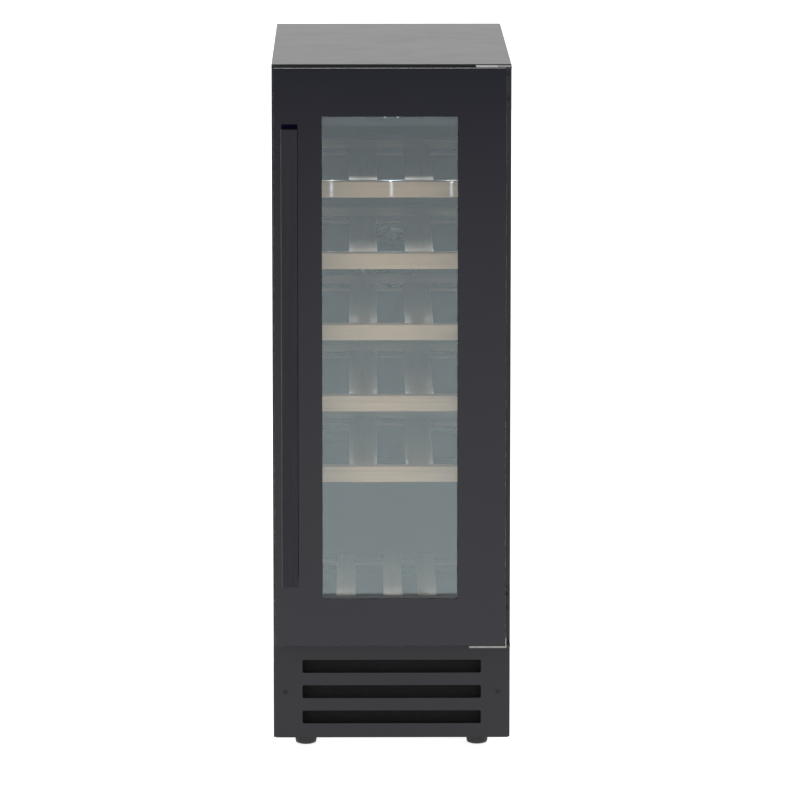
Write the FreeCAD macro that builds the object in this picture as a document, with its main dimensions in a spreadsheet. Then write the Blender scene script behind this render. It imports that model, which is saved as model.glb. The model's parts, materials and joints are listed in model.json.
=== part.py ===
# Undercounter wine cooler, 295 mm wide: steel cabinet, full-glass door, wooden shelves.
#
# Frame: millimetres, +Z up, the door faces -Y and +X is the hinge side.  The origin is on the
# floor, under the middle of the whole appliance (handle included).  Heights are written from the
# floor, depths from the cabinet's front flange ("flange"), widths from the middle plane.
import FreeCAD, Part
import Sketcher
import math
import os
import re

from FreeCAD import Rotation, Vector

SHELF_COUNT = 5
# Middles of the bottom rack's slats, as shares of half its width.
BOTTOM_SLATS = (-0.9, -0.49, 0.02, 0.39, 0.9)
LOUVRE_ROWS = 9
FIN_COUNT = 15
INLET_BLADES = ((-7, 6), (7, 6), (0, 12))  # sideways from the socket's middle, up from its lower edge

# Two lengths closer than this are the same when an edge is looked for.
CLOSE = 0.01

# Driving sizes: plain numbers in millimetres or degrees, each the only place where it is set.
SIZES = {
    # cabinet
    "cabinet_width": 295.0,
    "cabinet_height": 860.0,
    "cabinet_depth": 530.0,
    "foot_height": 15.0,
    "sheet": 1.0,
    "top_lip": 5.0,
    "edge_round": 0.8,
    "side_wall": 28.5,
    "top_wall": 38.0,
    "back_wall": 43.0,
    "floor_level": 158.0,
    "floor_wall": 28.0,
    "liner_wall": 2.0,
    "step_depth": 150.0,
    "step_height": 132.0,
    # kick grille
    "grille_top": 132.0,
    "grille_thick": 2.5,
    "grille_corner": 4.0,
    "slot_count": 3.0,
    "slot_width": 223.0,
    "slot_height": 16.5,
    "slot_pitch": 32.3,
    "slot_corner": 2.0,
    "grille_screw_inset": 14.8,
    "grille_screw_head": 8.0,
    "screw_hole": 2.0,
    "screw_grip": 8.0,
    "hinge_screw_head": 5.6,
    # door
    "door_gap": 6.0,
    "glass_thick": 4.0,
    "frame_thick": 30.0,
    "door_bottom": 139.5,
    "door_top_gap": 1.0,
    "door_left_gap": 2.3,
    "door_right_gap": 6.8,
    "glass_overhang": 1.0,
    "glass_rise": 3.0,
    "frit_border": 59.5,
    "glass_corner": 2.0,
    "rebate": 12.0,
    "cavity_of_glazing": 12.0,
    "gasket_width": 11.5,
    "gasket_margin": 2.0,
    "gasket_clear": 0.4,
    "gasket_round": 1.5,
    # hinges
    "hinge_inset": 13.5,
    "hinge_setback": 15.0,
    "leaf_thick": 2.5,
    "leaf_clear": 0.4,
    "leaf_length": 40.0,
    "leaf_reach": 25.0,
    "leg_width": 9.0,
    "leaf_corner": 6.0,
    "top_leg": 55.0,
    "bottom_leg": 72.0,
    "pin_radius": 3.0,
    "pin_clear": 0.05,
    "pin_length": 13.0,
    "bush_wall": 1.5,
    "bush_length": 15.0,
    "door_plate_left": 51.5,
    "door_plate_lip": 10.0,
    "door_plate_lip_thick": 1.3,
    "door_plate_proud": 1.5,
    # handle
    "handle_width": 20.0,
    "handle_thick": 10.0,
    "handle_gap": 24.0,
    "handle_inset": 9.7,
    "handle_top": 73.0,
    "handle_bottom": 80.5,
    "handle_round": 2.0,
    "post_radius": 6.0,
    "post_inset": 55.0,
    "stud_radius": 2.5,
    "stud_length": 14.0,
    # shelves
    "shelf_setback": 18.0,
    "shelf_side_gap": 3.0,
    "first_shelf_drop": 147.5,
    "last_shelf_rise": 65.5,
    "fascia_height": 20.0,
    "fascia_thick": 18.0,
    "fascia_round": 1.5,
    "slat_width": 35.5,
    "slat_pitch": 70.0,
    "slat_thick": 6.0,
    "slat_drop": 2.0,
    "shelf_rear_gap": 51.0,
    "crossbar_depth": 16.0,
    "rail_width": 9.0,
    "rail_height": 6.0,
    "rail_clear": 0.3,
    "bottom_rack_rise": 30.0,
    "bottom_rack_gap": 10.0,
    "bottom_slat_width": 24.0,
    # control housing and light
    "housing_height": 39.0,
    "housing_depth": 46.0,
    "housing_setback": 10.0,
    "housing_wall": 2.0,
    "display_width": 62.0,
    "display_height": 24.0,
    "led_pitch": 74.0,
    "led_width": 176.0,
    "led_depth": 14.0,
    # air duct and cooling parts
    "duct_gap": 26.0,
    "duct_sheet": 2.0,
    "fan_radius": 40.0,
    "fan_clear": 2.0,
    "fan_hub": 14.0,
    "fan_thick": 14.0,
    "blade_twist": 32.0,
    "blade_thick": 1.6,
    "blade_count": 7.0,
    "fan_frame_thick": 24.0,
    "shaft_radius": 2.0,
    "compressor_radius": 50.0,
    "compressor_height": 138.0,
    "mount_height": 14.0,
    "coil_tube": 3.0,
    "coil_pitch": 20.0,
    "coil_runs": 5.0,
    "coil_rows": 2.0,
    "coil_inset": 35.0,
    # feet
    "foot_radius": 13.3,
    "foot_body": 12.0,
    "foot_inset_side": 40.0,
    "foot_inset_front": 36.0,
    "foot_inset_back": 40.0,
    "stem_radius": 4.0,
    "stem_length": 26.0,
    "stem_clear": 0.3,
    "knurl_count": 36.0,
    "knurl_radius": 0.7,
    "socket_wall": 5.0,
    "socket_length": 14.0,
    # mains inlet and rear louvres
    "inlet_left": 81.1,
    "inlet_rise": 35.0,
    "inlet_width": 28.0,
    "inlet_height": 21.0,
    "inlet_depth": 24.0,
    "louvre_width": 88.0,
    "louvre_height": 6.0,
    "louvre_pitch": 14.0,
    "louvre_rise": 95.0,
}

# Sizes worked out from the driving ones, as formulas of the sheet's names.
DERIVED = {
    "half": "cabinet_width / 2",
    "door_thick": "glass_thick + frame_thick",
    "handle_reach": "handle_gap + handle_thick",
    "flange": "(door_gap + door_thick + handle_reach - cabinet_depth) / 2",
    "back": "flange + cabinet_depth",
    "cavity_half": "half - side_wall",
    "cavity_top": "cabinet_height - top_wall",
    "cavity_back": "back - back_wall",
    "step_front": "cavity_back - step_depth",
    "step_top": "floor_level + step_height",
    "machine_top": "floor_level - floor_wall",
    "machine_front": "step_front + floor_wall",
    "machine_rear_top": "step_top - floor_wall",
    "grille_middle": "(foot_height + grille_top) / 2",
    "inlet_x": "-inlet_left",
    "inlet_low": "foot_height + inlet_rise",
    # door outline, seen from the front
    "door_left": "door_left_gap - half",
    "door_right": "half - door_right_gap",
    "door_top": "cabinet_height - door_top_gap",
    "door_front": "flange - door_gap - door_thick",
    "door_back": "flange - door_gap",
    "glass_back": "door_front + glass_thick",
    "frame_top": "door_top - glass_rise",
    "window_left": "door_left + frit_border",
    "window_right": "door_right - frit_border",
    "window_bottom": "door_bottom + frit_border",
    "window_top": "door_top - frit_border",
    "hinge_x": "half - hinge_inset",
    "hinge_y": "flange - hinge_setback",
    "handle_low": "door_bottom + handle_bottom",
    "handle_high": "cabinet_height - handle_top",
    # shelves
    "shelf_half": "cavity_half - shelf_side_gap",
    "shelf_front": "flange + shelf_setback",
    "first_shelf": "cabinet_height - first_shelf_drop",
    "last_shelf": "step_top + last_shelf_rise",
    "shelf_pitch": f"(first_shelf - last_shelf) / {SHELF_COUNT - 1}",
    "duct_front": "cavity_back - duct_gap",
    "shelf_length": "duct_front - shelf_rear_gap - shelf_front",
    "bottom_rack_length": "step_front - bottom_rack_gap - shelf_front",
    "fan_z": "(cavity_top + step_top) / 2",
    "foot_x": "half - foot_inset_side",
    "led_z": "cavity_top - housing_height",
}

doc = FreeCAD.newDocument("WineCooler")
sheet = doc.addObject("Spreadsheet::Sheet", "Sizes")
for row, (alias, number) in enumerate(SIZES.items(), start=1):
    sheet.set(f"A{row}", alias)
    sheet.set(f"B{row}", str(number))
    sheet.setAlias(f"B{row}", alias)
doc.recompute()

NODES = []


# ---------------------------------------------------------------- helpers
def formula(text):
    """The expression with every size name pointing at its cell of the sheet."""
    def swap(match):
        name = match.group(0)
        if name in DERIVED:
            return "(" + formula(DERIVED[name]) + ")"
        return "Sizes." + name if name in SIZES else name
    return re.sub(r"[a-z][a-z_0-9]*", swap, str(text))


def bind(thing, **expressions):
    """Bind properties; Base_x stands for Placement.Base.x and so on."""
    for name, text in expressions.items():
        path = name.replace("Base_", "Placement.Base.")
        thing.setExpression(path, formula(text))
    return thing


def add(kind, name):
    return doc.addObject(kind, name)


def place(thing, where, turn=None):
    """Put a feature at (x, y, z), each a formula, turned by an (axis, angle) pair if given."""
    if turn:
        axis, angle = turn
        thing.Placement = FreeCAD.Placement(Vector(), Rotation(Vector(*axis), angle))
    return bind(thing, Base_x=where[0], Base_y=where[1], Base_z=where[2])


def block(name, across, along, upward):
    """A box between (low, high) formulas on X, Y and Z."""
    box = add("Part::Box", name)
    bind(box, Length=f"({across[1]}) - ({across[0]})", Width=f"({along[1]}) - ({along[0]})",
         Height=f"({upward[1]}) - ({upward[0]})")
    return place(box, (across[0], along[0], upward[0]))


TURN = {"x": ((0, 1, 0), 90), "y": ((1, 0, 0), -90), "z": None}


def rod(name, radius, length, start, axis="z"):
    """A cylinder from a start point along +X, +Y or +Z."""
    cylinder = bind(add("Part::Cylinder", name), Radius=radius, Height=length)
    return place(cylinder, start, TURN[axis])


def fuse(name, shapes):
    joined = add("Part::MultiFuse", name)
    joined.Shapes = shapes
    joined.Refine = True
    return joined


def cut(name, base, tools):
    """The base less one tool, or less several joined into one."""
    gone = tools[0] if len(tools) == 1 else fuse(name + "_tools", tools)
    result = add("Part::Cut", name)
    result.Base = base
    result.Tool = gone
    result.Refine = True
    return result


def group(name, shapes):
    """Several separate solids of one kind, kept together as one sub-part."""
    together = add("Part::Compound", name)
    together.Links = shapes
    return together


def node(label, thing):
    """Register a finished sub-part under its own label."""
    thing.Label = label
    NODES.append(thing)
    return thing


def along_axis(shape, axis, length=None):
    """Names of the straight edges parallel to an axis, as ("Edge1", ...)."""
    names = []
    for number, edge in enumerate(shape.Edges, start=1):
        if edge.Curve.TypeId != "Part::GeomLine":
            continue
        direction = edge.tangentAt(edge.FirstParameter)
        if abs(direction.dot(axis)) > 0.999 and (length is None or abs(edge.Length - length) < 0.01):
            names.append(f"Edge{number}")
    return names


def new_body(name, where, turn=None):
    body = add("PartDesign::Body", name)
    place(body, where, turn)
    return body


def sketch_on(body, role, name):
    """A sketch on one of the body's own origin planes."""
    plane = next(item for item in body.Origin.OriginFeatures if item.Role == role)
    sketch = body.newObject("Sketcher::SketchObject", name)
    sketch.AttachmentSupport = [(plane, "")]
    sketch.MapMode = "FlatFace"
    return sketch


def limit(sketch, kind, picks, text):
    """A dimension constraint bound to a formula."""
    index = sketch.addConstraint(Sketcher.Constraint(kind, *picks, 1.0))
    sketch.setExpression(f"Constraints[{index}]", formula(text))


def outline(sketch, corners):
    """A closed polygon whose corners are (x, y) formulas from the sketch's origin."""
    count = len(corners)
    start = [Vector(math.cos(2 * math.pi * k / count) + 1, math.sin(2 * math.pi * k / count) + 1, 0)
             for k in range(count)]
    first = sketch.GeometryCount
    for k in range(count):
        sketch.addGeometry(Part.LineSegment(start[k], start[(k + 1) % count]), False)
    for k in range(count):
        following = first + (k + 1) % count
        sketch.addConstraint(Sketcher.Constraint("Coincident", first + k, 2, following, 1))
    for k, (x, y) in enumerate(corners):
        for kind, text in (("DistanceX", x), ("DistanceY", y)):
            limit(sketch, kind, (-1, 1, first + k, 1), text)


def rectangle(sketch, across, upward):
    outline(sketch, [(across[0], upward[0]), (across[1], upward[0]),
                     (across[1], upward[1]), (across[0], upward[1])])


def circle(sketch, radius, centre=("0", "0")):
    index = sketch.addGeometry(Part.Circle(Vector(0.5, 0.5, 0), Vector(0, 0, 1), 1.0), False)
    limit(sketch, "Radius", (index,), radius)
    for kind, text in (("DistanceX", centre[0]), ("DistanceY", centre[1])):
        limit(sketch, kind, (-1, 1, index, 3), text)


def pad(body, sketch, length, name, both=False, back=False):
    feature = body.newObject("PartDesign::Pad", name)
    feature.Profile = sketch
    feature.Midplane = both
    feature.Reversed = back
    bind(feature, Length=length)
    doc.recompute()
    return feature


def pocket(body, sketch, name, length=None, back=False):
    """A pocket, right through unless a depth is given; it must take something away."""
    before = body.Shape.Volume
    feature = body.newObject("PartDesign::Pocket", name)
    feature.Profile = sketch
    feature.Reversed = back
    if length is None:
        feature.Type = "ThroughAll"
        feature.Midplane = True
    else:
        bind(feature, Length=length)
    doc.recompute()
    if not body.Shape.Volume < before:
        raise RuntimeError(f"{name} cuts nothing")
    return feature


def round_edges(body, names, radius):
    """Round some edges of the body's last feature."""
    feature = body.newObject("PartDesign::Fillet", f"{body.Name}_fillet")
    feature.Base = (body.Group[-2], names)
    bind(feature, Radius=radius)
    doc.recompute()
    return feature


def repeat_round(body, features, count, name, role="Z_Axis"):
    """Repeat features about one of the body's own axes."""
    pattern = body.newObject("PartDesign::PolarPattern", name)
    pattern.Originals = features
    axis = next(item for item in body.Origin.OriginFeatures if item.Role == role)
    pattern.Axis = (axis, [""])
    pattern.Angle = 360
    bind(pattern, Occurrences=count)
    body.Tip = pattern
    doc.recompute()
    return pattern


def revolve(body, sketch, name, role="V_Axis"):
    feature = body.newObject("PartDesign::Revolution", name)
    feature.Profile = sketch
    feature.ReferenceAxis = (sketch, [role])
    feature.Angle = 360
    doc.recompute()
    return feature


def edges_where(shape, test):
    """Names of the edges whose middle point passes a test."""
    return [f"Edge{number}" for number, edge in enumerate(shape.Edges, start=1)
            if test(edge, edge.valueAt((edge.FirstParameter + edge.LastParameter) / 2))]


def ring(name, across, along, upward, inner_across, inner_upward):
    """A rectangular ring: a box with a smaller opening right through it along Y."""
    outer = block(name + "_outer", across, along, upward)
    hole = block(name + "_opening", inner_across, (f"{along[0]} - 1", f"{along[1]} + 1"), inner_upward)
    return cut(name, outer, [hole])


def countersink(name, head, depth, at):
    """The cone of a countersunk head whose face lies at a point and looks to -Y."""
    cone = bind(add("Part::Cone", name), Radius1=head, Radius2=f"{head} - ({depth})", Height=depth)
    return place(cone, at, TURN["y"])


def cross_recess(name, width, depth, at):
    """Two crossed bars, the driver recess of a screw that looks to -Y."""
    x, y, z = at
    bars = []
    for suffix, wide, tall in (("flat", width, f"{width} / 4"), ("upright", f"{width} / 4", width)):
        bars.append(block(f"{name}_{suffix}", (f"{x} - {wide} / 2", f"{x} + {wide} / 2"),
                          (f"{y} - 1", f"{y} + {depth}"), (f"{z} - {tall} / 2", f"{z} + {tall} / 2")))
    return fuse(name, bars)


def front_screw(name, head, depth, at, flat):
    """A screw looking to -Y: countersunk if flat, else with a low cylindrical head."""
    x, y, z = at
    if flat:
        top = countersink(name + "_head", head, depth, at)
        face = y
        root = f"{y} + ({depth}) / 2"
    else:
        face = f"{y} - ({depth})"
        top = rod(name + "_head", head, depth, (x, face, z), "y")
        root = y
    stem = rod(name + "_stem", "screw_hole", "screw_grip", (x, root, z), "y")
    recess = cross_recess(name + "_recess", head, f"({depth}) * 0.6", (x, face, z))
    return cut(name, fuse(name + "_whole", [top, stem]), [recess])


# ---------------------------------------------------------------- cabinet shell
def make_top_panel():
    """Painted steel lid with a folded front lip; its front and side edges are slightly rounded."""
    body = new_body("TopPanel", ("0", "0", "cabinet_height - sheet"))
    plate = sketch_on(body, "XY_Plane", "TopPlate")
    rectangle(plate, ("-half", "half"), ("flange", "back"))
    pad(body, plate, "sheet", "TopPlatePad")
    lip = sketch_on(body, "XY_Plane", "TopLip")
    rectangle(lip, ("sheet - half", "half - sheet"), ("flange", "flange + sheet"))
    pad(body, lip, "top_lip - sheet", "TopLipPad", back=True)
    rim = edges_where(body.Shape, lambda edge, middle: abs(middle.z - sheet.cabinet_height) < CLOSE)
    round_edges(body, rim, "min(edge_round; 0.8 * sheet)")
    node("top_panel", body)


def make_sides():
    for name, across in (("left", ("-half", "sheet - half")), ("right", ("half - sheet", "half"))):
        node(f"{name}_side_panel", block(f"{name}_side", across, ("flange", "back - sheet"),
                                         ("foot_height", "cabinet_height - sheet")))


def make_back():
    """Flat rear sheet above the machine room, and the louvred cover below it."""
    node("back_panel", block("BackPanel", ("-half", "half"), ("back - sheet", "back"),
                             ("machine_rear_top", "cabinet_height - sheet")))
    cover = block("CoverSheet", ("-half", "half"), ("back - sheet", "back"),
                  ("foot_height", "machine_rear_top"))
    through = ("back - sheet - 1", "back + 1")
    tools = []
    for column, x in enumerate(("-half * 0.42", "half * 0.42")):
        for row in range(LOUVRE_ROWS):
            low = f"foot_height + louvre_rise + {row} * louvre_pitch"
            across = (f"{x} - louvre_width / 2", f"{x} + louvre_width / 2")
            tools.append(block(f"Louvre{column}_{row}", across, through, (low, f"{low} + louvre_height")))
    tools.append(block("InletCutout", ("inlet_x - inlet_width / 2", "inlet_x + inlet_width / 2"),
                       through, ("inlet_low", "inlet_low + inlet_height")))
    node("machine_room_cover", cut("MachineRoomCover", cover, tools))


def make_power_inlet():
    """Appliance inlet: a moulded housing behind the cover with three contact blades."""
    inside = "back - sheet"
    case = block("InletCase", ("inlet_x - inlet_width / 2 - 6", "inlet_x + inlet_width / 2 + 6"),
                 (f"{inside} - inlet_depth", inside), ("inlet_low - 4", "inlet_low + inlet_height + 4"))
    well = block("InletWell", ("inlet_x - inlet_width / 2 + 2", "inlet_x + inlet_width / 2 - 2"),
                 (f"{inside} - inlet_depth + 7", f"{inside} + 1"),
                 ("inlet_low + 2", "inlet_low + inlet_height - 2"))
    blades = []
    for k, (aside, rise) in enumerate(INLET_BLADES):
        blades.append(block(f"InletBlade{k}", (f"inlet_x + {aside} - 1", f"inlet_x + {aside} + 1"),
                            (f"{inside} - inlet_depth + 6", f"{inside} - 3"),
                            (f"inlet_low + {rise}", f"inlet_low + {rise} + 4")))
    node("power_inlet", fuse("PowerInlet", [cut("InletHousing", case, [well])] + blades))


GRILLE_SCREWS = ("grille_screw_inset - half", "half - grille_screw_inset")
FOOT_PLACES = {
    "front_left": ("-foot_x", "flange + foot_inset_front"),
    "front_right": ("foot_x", "flange + foot_inset_front"),
    "rear_left": ("-foot_x", "back - foot_inset_back"),
    "rear_right": ("foot_x", "back - foot_inset_back"),
}


def make_base():
    """Steel tray with four foot holes and two front ears that the kick grille screws into."""
    tray = block("TraySheet", ("sheet - half", "half - sheet"), ("flange", "back - sheet"),
                 ("foot_height", "foot_height + sheet"))
    ears = [block(f"TrayEar{k}", across, ("flange", "flange + sheet"), ("foot_height", "grille_top - 4"))
            for k, across in enumerate((("sheet - half", "24 - half"), ("half - 24", "half - sheet")))]
    holes = [rod(f"FootHole_{name}", "stem_radius + stem_clear", "sheet + 2", (x, y, "foot_height - 1"))
             for name, (x, y) in FOOT_PLACES.items()]
    holes += [rod(f"EarHole{k}", "screw_hole", "sheet + 2", (x, "flange - 1", "grille_middle"), "y")
              for k, x in enumerate(GRILLE_SCREWS)]
    node("base_tray", cut("BaseTray", fuse("TrayWhole", [tray] + ears), holes))
    sockets = []
    for name, (x, y) in FOOT_PLACES.items():
        boss = rod(f"Boss_{name}", "stem_radius + socket_wall", "socket_length",
                   (x, y, "foot_height + sheet"))
        bore = rod(f"BossBore_{name}", "stem_radius + stem_clear", "socket_length + 2",
                   (x, y, "foot_height + sheet - 1"))
        sockets.append(cut(f"Socket_{name}", boss, [bore]))
        inward = "+" if name.endswith("left") else "-"
        sockets.append(rod(f"SocketScrew_{name}", "3.5", "2.5",
                           (f"{x} {inward} (foot_radius + 4.2)", y, "foot_height - 2.5")))
    node("foot_sockets", group("FootSockets", sockets))


def make_feet():
    """Round levelling feet: knurled disc with a rounded sole, turned down on a threaded stem."""
    for name, (x, y) in FOOT_PLACES.items():
        body = new_body(f"Foot_{name}", (x, y, "0"))
        profile = sketch_on(body, "XZ_Plane", f"FootProfile_{name}")
        outline(profile, [("0", "0"), ("foot_radius - 4", "0"), ("foot_radius - 1", "1.2"),
                          ("foot_radius", "4"),
                          ("foot_radius", "foot_body - 1"), ("foot_radius - 1", "foot_body"),
                          ("stem_radius", "foot_body"), ("stem_radius", "foot_body + stem_length"),
                          ("0", "foot_body + stem_length")])
        revolve(body, profile, f"FootTurned_{name}")
        groove = sketch_on(body, "XY_Plane", f"Knurl_{name}")
        circle(groove, "knurl_radius", ("foot_radius + knurl_radius / 4", "0"))
        notch = pocket(body, groove, f"KnurlCut_{name}", "foot_body + 1", back=True)
        repeat_round(body, [notch], "knurl_count", f"KnurlAll_{name}")
        node(f"foot_{name}", body)


def make_kick_grille():
    """Moulded plinth grille: three long slots, rounded lower corners, two countersunk screws."""
    body = new_body("KickGrille", ("0", "flange", "0"))
    plate = sketch_on(body, "XZ_Plane", "GrillePlate")
    rectangle(plate, ("-half", "half"), ("foot_height", "grille_top"))
    pad(body, plate, "grille_thick", "GrillePad")
    low = "grille_middle - (slot_count - 1) / 2 * slot_pitch - slot_height / 2"
    slot = sketch_on(body, "XZ_Plane", "GrilleSlot")
    rectangle(slot, ("-slot_width / 2", "slot_width / 2"), (low, f"{low} + slot_height"))
    opening = pocket(body, slot, "SlotCut")
    rows = body.newObject("PartDesign::LinearPattern", "SlotRows")
    rows.Originals = [opening]
    rows.Direction = (slot, ["V_Axis"])
    bind(rows, Length="(slot_count - 1) * slot_pitch", Occurrences="slot_count")
    body.Tip = rows
    doc.recompute()

    def depth_edges(test):
        """Names of the edges that run through the plate's thickness and pass a test."""
        through = set(along_axis(body.Shape, Vector(0, 1, 0)))
        return sorted(through & set(edges_where(body.Shape, test)))

    outside = sheet.cabinet_width / 2 - CLOSE
    round_edges(body, depth_edges(lambda edge, middle: abs(middle.x) < outside), "slot_corner")
    underside = sheet.foot_height + CLOSE
    round_edges(body, depth_edges(lambda edge, middle: middle.z < underside), "grille_corner")
    face = "flange - grille_thick"
    head = ("grille_screw_head / 2", "grille_thick - 0.3")
    tools = []
    screws = []
    for k, x in enumerate(GRILLE_SCREWS):
        tools.append(countersink(f"GrilleSink{k}", *head, (x, face, "grille_middle")))
        tools.append(rod(f"GrilleHole{k}", "screw_hole", "grille_thick + 2",
                         (x, f"{face} - 1", "grille_middle"), "y"))
        screws.append(front_screw(f"GrilleScrew{k}", *head, (x, face, "grille_middle"), flat=True))
    node("kick_grille", cut("KickGrillePierced", body, tools))
    node("grille_screws", group("GrilleScrews", screws))


# ---------------------------------------------------------------- insulated cavity
# Where the hinge legs are screwed to the flange: two screws in the top leg, two in the bottom one.
HINGE_SCREWS = [("half - leg_width / 2", text) for text in
                ("cabinet_height - 12", "cabinet_height - 42", "door_bottom + 41", "door_bottom + 58")]


def make_front_frame():
    """Painted steel flange round the opening, that the magnetic gasket closes on."""
    frame = ring("FrontFlange", ("sheet - half", "half - sheet"), ("flange", "flange + sheet"),
                 ("grille_top - 4", "cabinet_height - top_lip"), ("-cavity_half", "cavity_half"),
                 ("floor_level", "cavity_top"))
    holes = [rod(f"FlangeHole{k}", "screw_hole", "sheet + 2", (x, "flange - 1", z), "y")
             for k, (x, z) in enumerate(HINGE_SCREWS)]
    node("front_frame", cut("FrontFlangePierced", frame, holes))


def liner_envelope(name):
    """The outside of the plastic liner, with the notch over the compressor."""
    whole = block(name + "_block", ("-cavity_half - liner_wall", "cavity_half + liner_wall"),
                  ("flange + sheet", "cavity_back + liner_wall"),
                  ("floor_level - liner_wall", "cavity_top + liner_wall"))
    notch = block(name + "_notch", ("-half", "half"), ("step_front + liner_wall", "back"),
                  ("0", "step_top - liner_wall"))
    return cut(name, whole, [notch])


def shelf_top(index):
    """Height of a shelf's front strip, counted from the top shelf."""
    return f"first_shelf - {index} * shelf_pitch"


def make_liner():
    """Vacuum-formed liner: five-sided shell with a step over the compressor and shelf ledges."""
    space = cut("CavitySpace",
                block("CavityBlock", ("-cavity_half", "cavity_half"), ("flange - 1", "cavity_back"),
                      ("floor_level", "cavity_top")),
                [block("StepBlock", ("-half", "half"), ("step_front", "back"), ("0", "step_top"))])
    shell = cut("LinerShell", liner_envelope("LinerOutside"), [space])
    ledges = []
    for index in range(SHELF_COUNT):
        under = f"{shelf_top(index)} - slat_drop - slat_thick - rail_clear"
        for side, across in (("L", ("-cavity_half - liner_wall / 2", "rail_width - cavity_half")),
                             ("R", ("cavity_half - rail_width", "cavity_half + liner_wall / 2"))):
            ledges.append(block(f"Ledge{index}{side}", across,
                                ("shelf_front + fascia_thick + 4", "shelf_front + shelf_length + 20"),
                                (f"{under} - rail_height", under)))
    node("inner_liner", fuse("InnerLiner", [shell] + ledges))


def make_foam():
    """Foamed-in insulation that fills the walls between the steel shell and the liner."""
    whole = block("FoamBlock", ("sheet - half", "half - sheet"), ("flange + sheet", "back - sheet"),
                  ("machine_top", "cabinet_height - sheet"))
    machine = block("FoamMachine", ("-half", "half"), ("machine_front", "back"), ("0", "machine_rear_top"))
    holes = [rod(f"FoamHole{k}", "screw_hole", "screw_grip + 4", (x, "flange", z), "y")
             for k, (x, z) in enumerate(HINGE_SCREWS)]
    node("insulation_foam", cut("Foam", whole, [machine, liner_envelope("FoamInside")] + holes))


# ---------------------------------------------------------------- cooling parts
def make_rotor(name, where):
    """Axial fan wheel: hub with seven pitched blades, turning on a bored centre."""
    body = new_body(name, where, ((1, 0, 0), 90))
    hub = sketch_on(body, "XY_Plane", name + "_hub")
    circle(hub, "fan_hub")
    pad(body, hub, "fan_thick", name + "_hub_pad", both=True)
    lean = "fan_thick * 0.45 / tan(blade_twist)"
    section = sketch_on(body, "YZ_Plane", name + "_section")
    outline(section, [(f"-{lean} - blade_thick / 2", "-fan_thick * 0.45"),
                      (f"-{lean} + blade_thick / 2", "-fan_thick * 0.45"),
                      (f"{lean} + blade_thick / 2", "fan_thick * 0.45"),
                      (f"{lean} - blade_thick / 2", "fan_thick * 0.45")])
    blade = pad(body, section, "fan_radius - 3", name + "_blade")
    repeat_round(body, [blade], "blade_count", name + "_blades")
    bore = sketch_on(body, "XY_Plane", name + "_bore")
    circle(bore, "shaft_radius + pin_clear")
    pocket(body, bore, name + "_bore_cut")
    return body


def fan_boss(name, where, length):
    """Motor boss with four spokes behind a wheel, and the shaft the wheel turns on."""
    x, y, z = where
    reach = "fan_radius + fan_clear + 1"
    parts = [rod(name + "_motor", "fan_hub - 2", length, (x, y, z), "y"),
             rod(name + "_shaft", "shaft_radius", f"fan_thick + {length}", (x, f"{y} - fan_thick", z), "y")]
    for suffix, wide, tall in (("level", reach, "2"), ("upright", "2", reach)):
        parts.append(block(f"{name}_{suffix}", (f"{x} - {wide}", f"{x} + {wide}"), (y, f"{y} + 3"),
                           (f"{z} - {tall}", f"{z} + {tall}")))
    return parts


CONDENSER_FAN = ("0", "flange + 175", "foot_height + sheet + fan_radius + fan_clear + 5")
CIRCULATION_FAN = ("0", "duct_front + duct_sheet + 1 + fan_thick / 2", "fan_z")


def make_condenser_fan():
    """Square fan frame on the base tray, with its wheel."""
    x, y, z = CONDENSER_FAN
    side = "(fan_radius + fan_clear + 5)"
    front = f"{y} - fan_frame_thick / 2"
    rear = f"{y} + fan_frame_thick / 2"
    case = block("FanCase", (f"{x} - {side}", f"{x} + {side}"), (front, rear),
                 (f"{z} - {side}", f"{z} + {side}"))
    hole = rod("FanCaseHole", "fan_radius + fan_clear", "fan_frame_thick + 2", (x, f"{front} - 1", z), "y")
    boss = fan_boss("FanCaseBoss", (x, f"{y} + fan_thick / 2 + 0.5", z),
                    "(fan_frame_thick - fan_thick) / 2 - 0.5")
    node("condenser_fan_frame", fuse("FanFrame", [cut("FanCaseOpen", case, [hole])] + boss))
    node("condenser_fan_blade", make_rotor("CondenserRotor", CONDENSER_FAN))


def tube(name, outer, inner, length, start):
    """A round sleeve along +Y."""
    x, y, z = start
    return cut(name, rod(name + "_outer", outer, length, start, "y"),
               [rod(name + "_inner", inner, f"{length} + 2", (x, f"{y} - 1", z), "y")])


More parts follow.
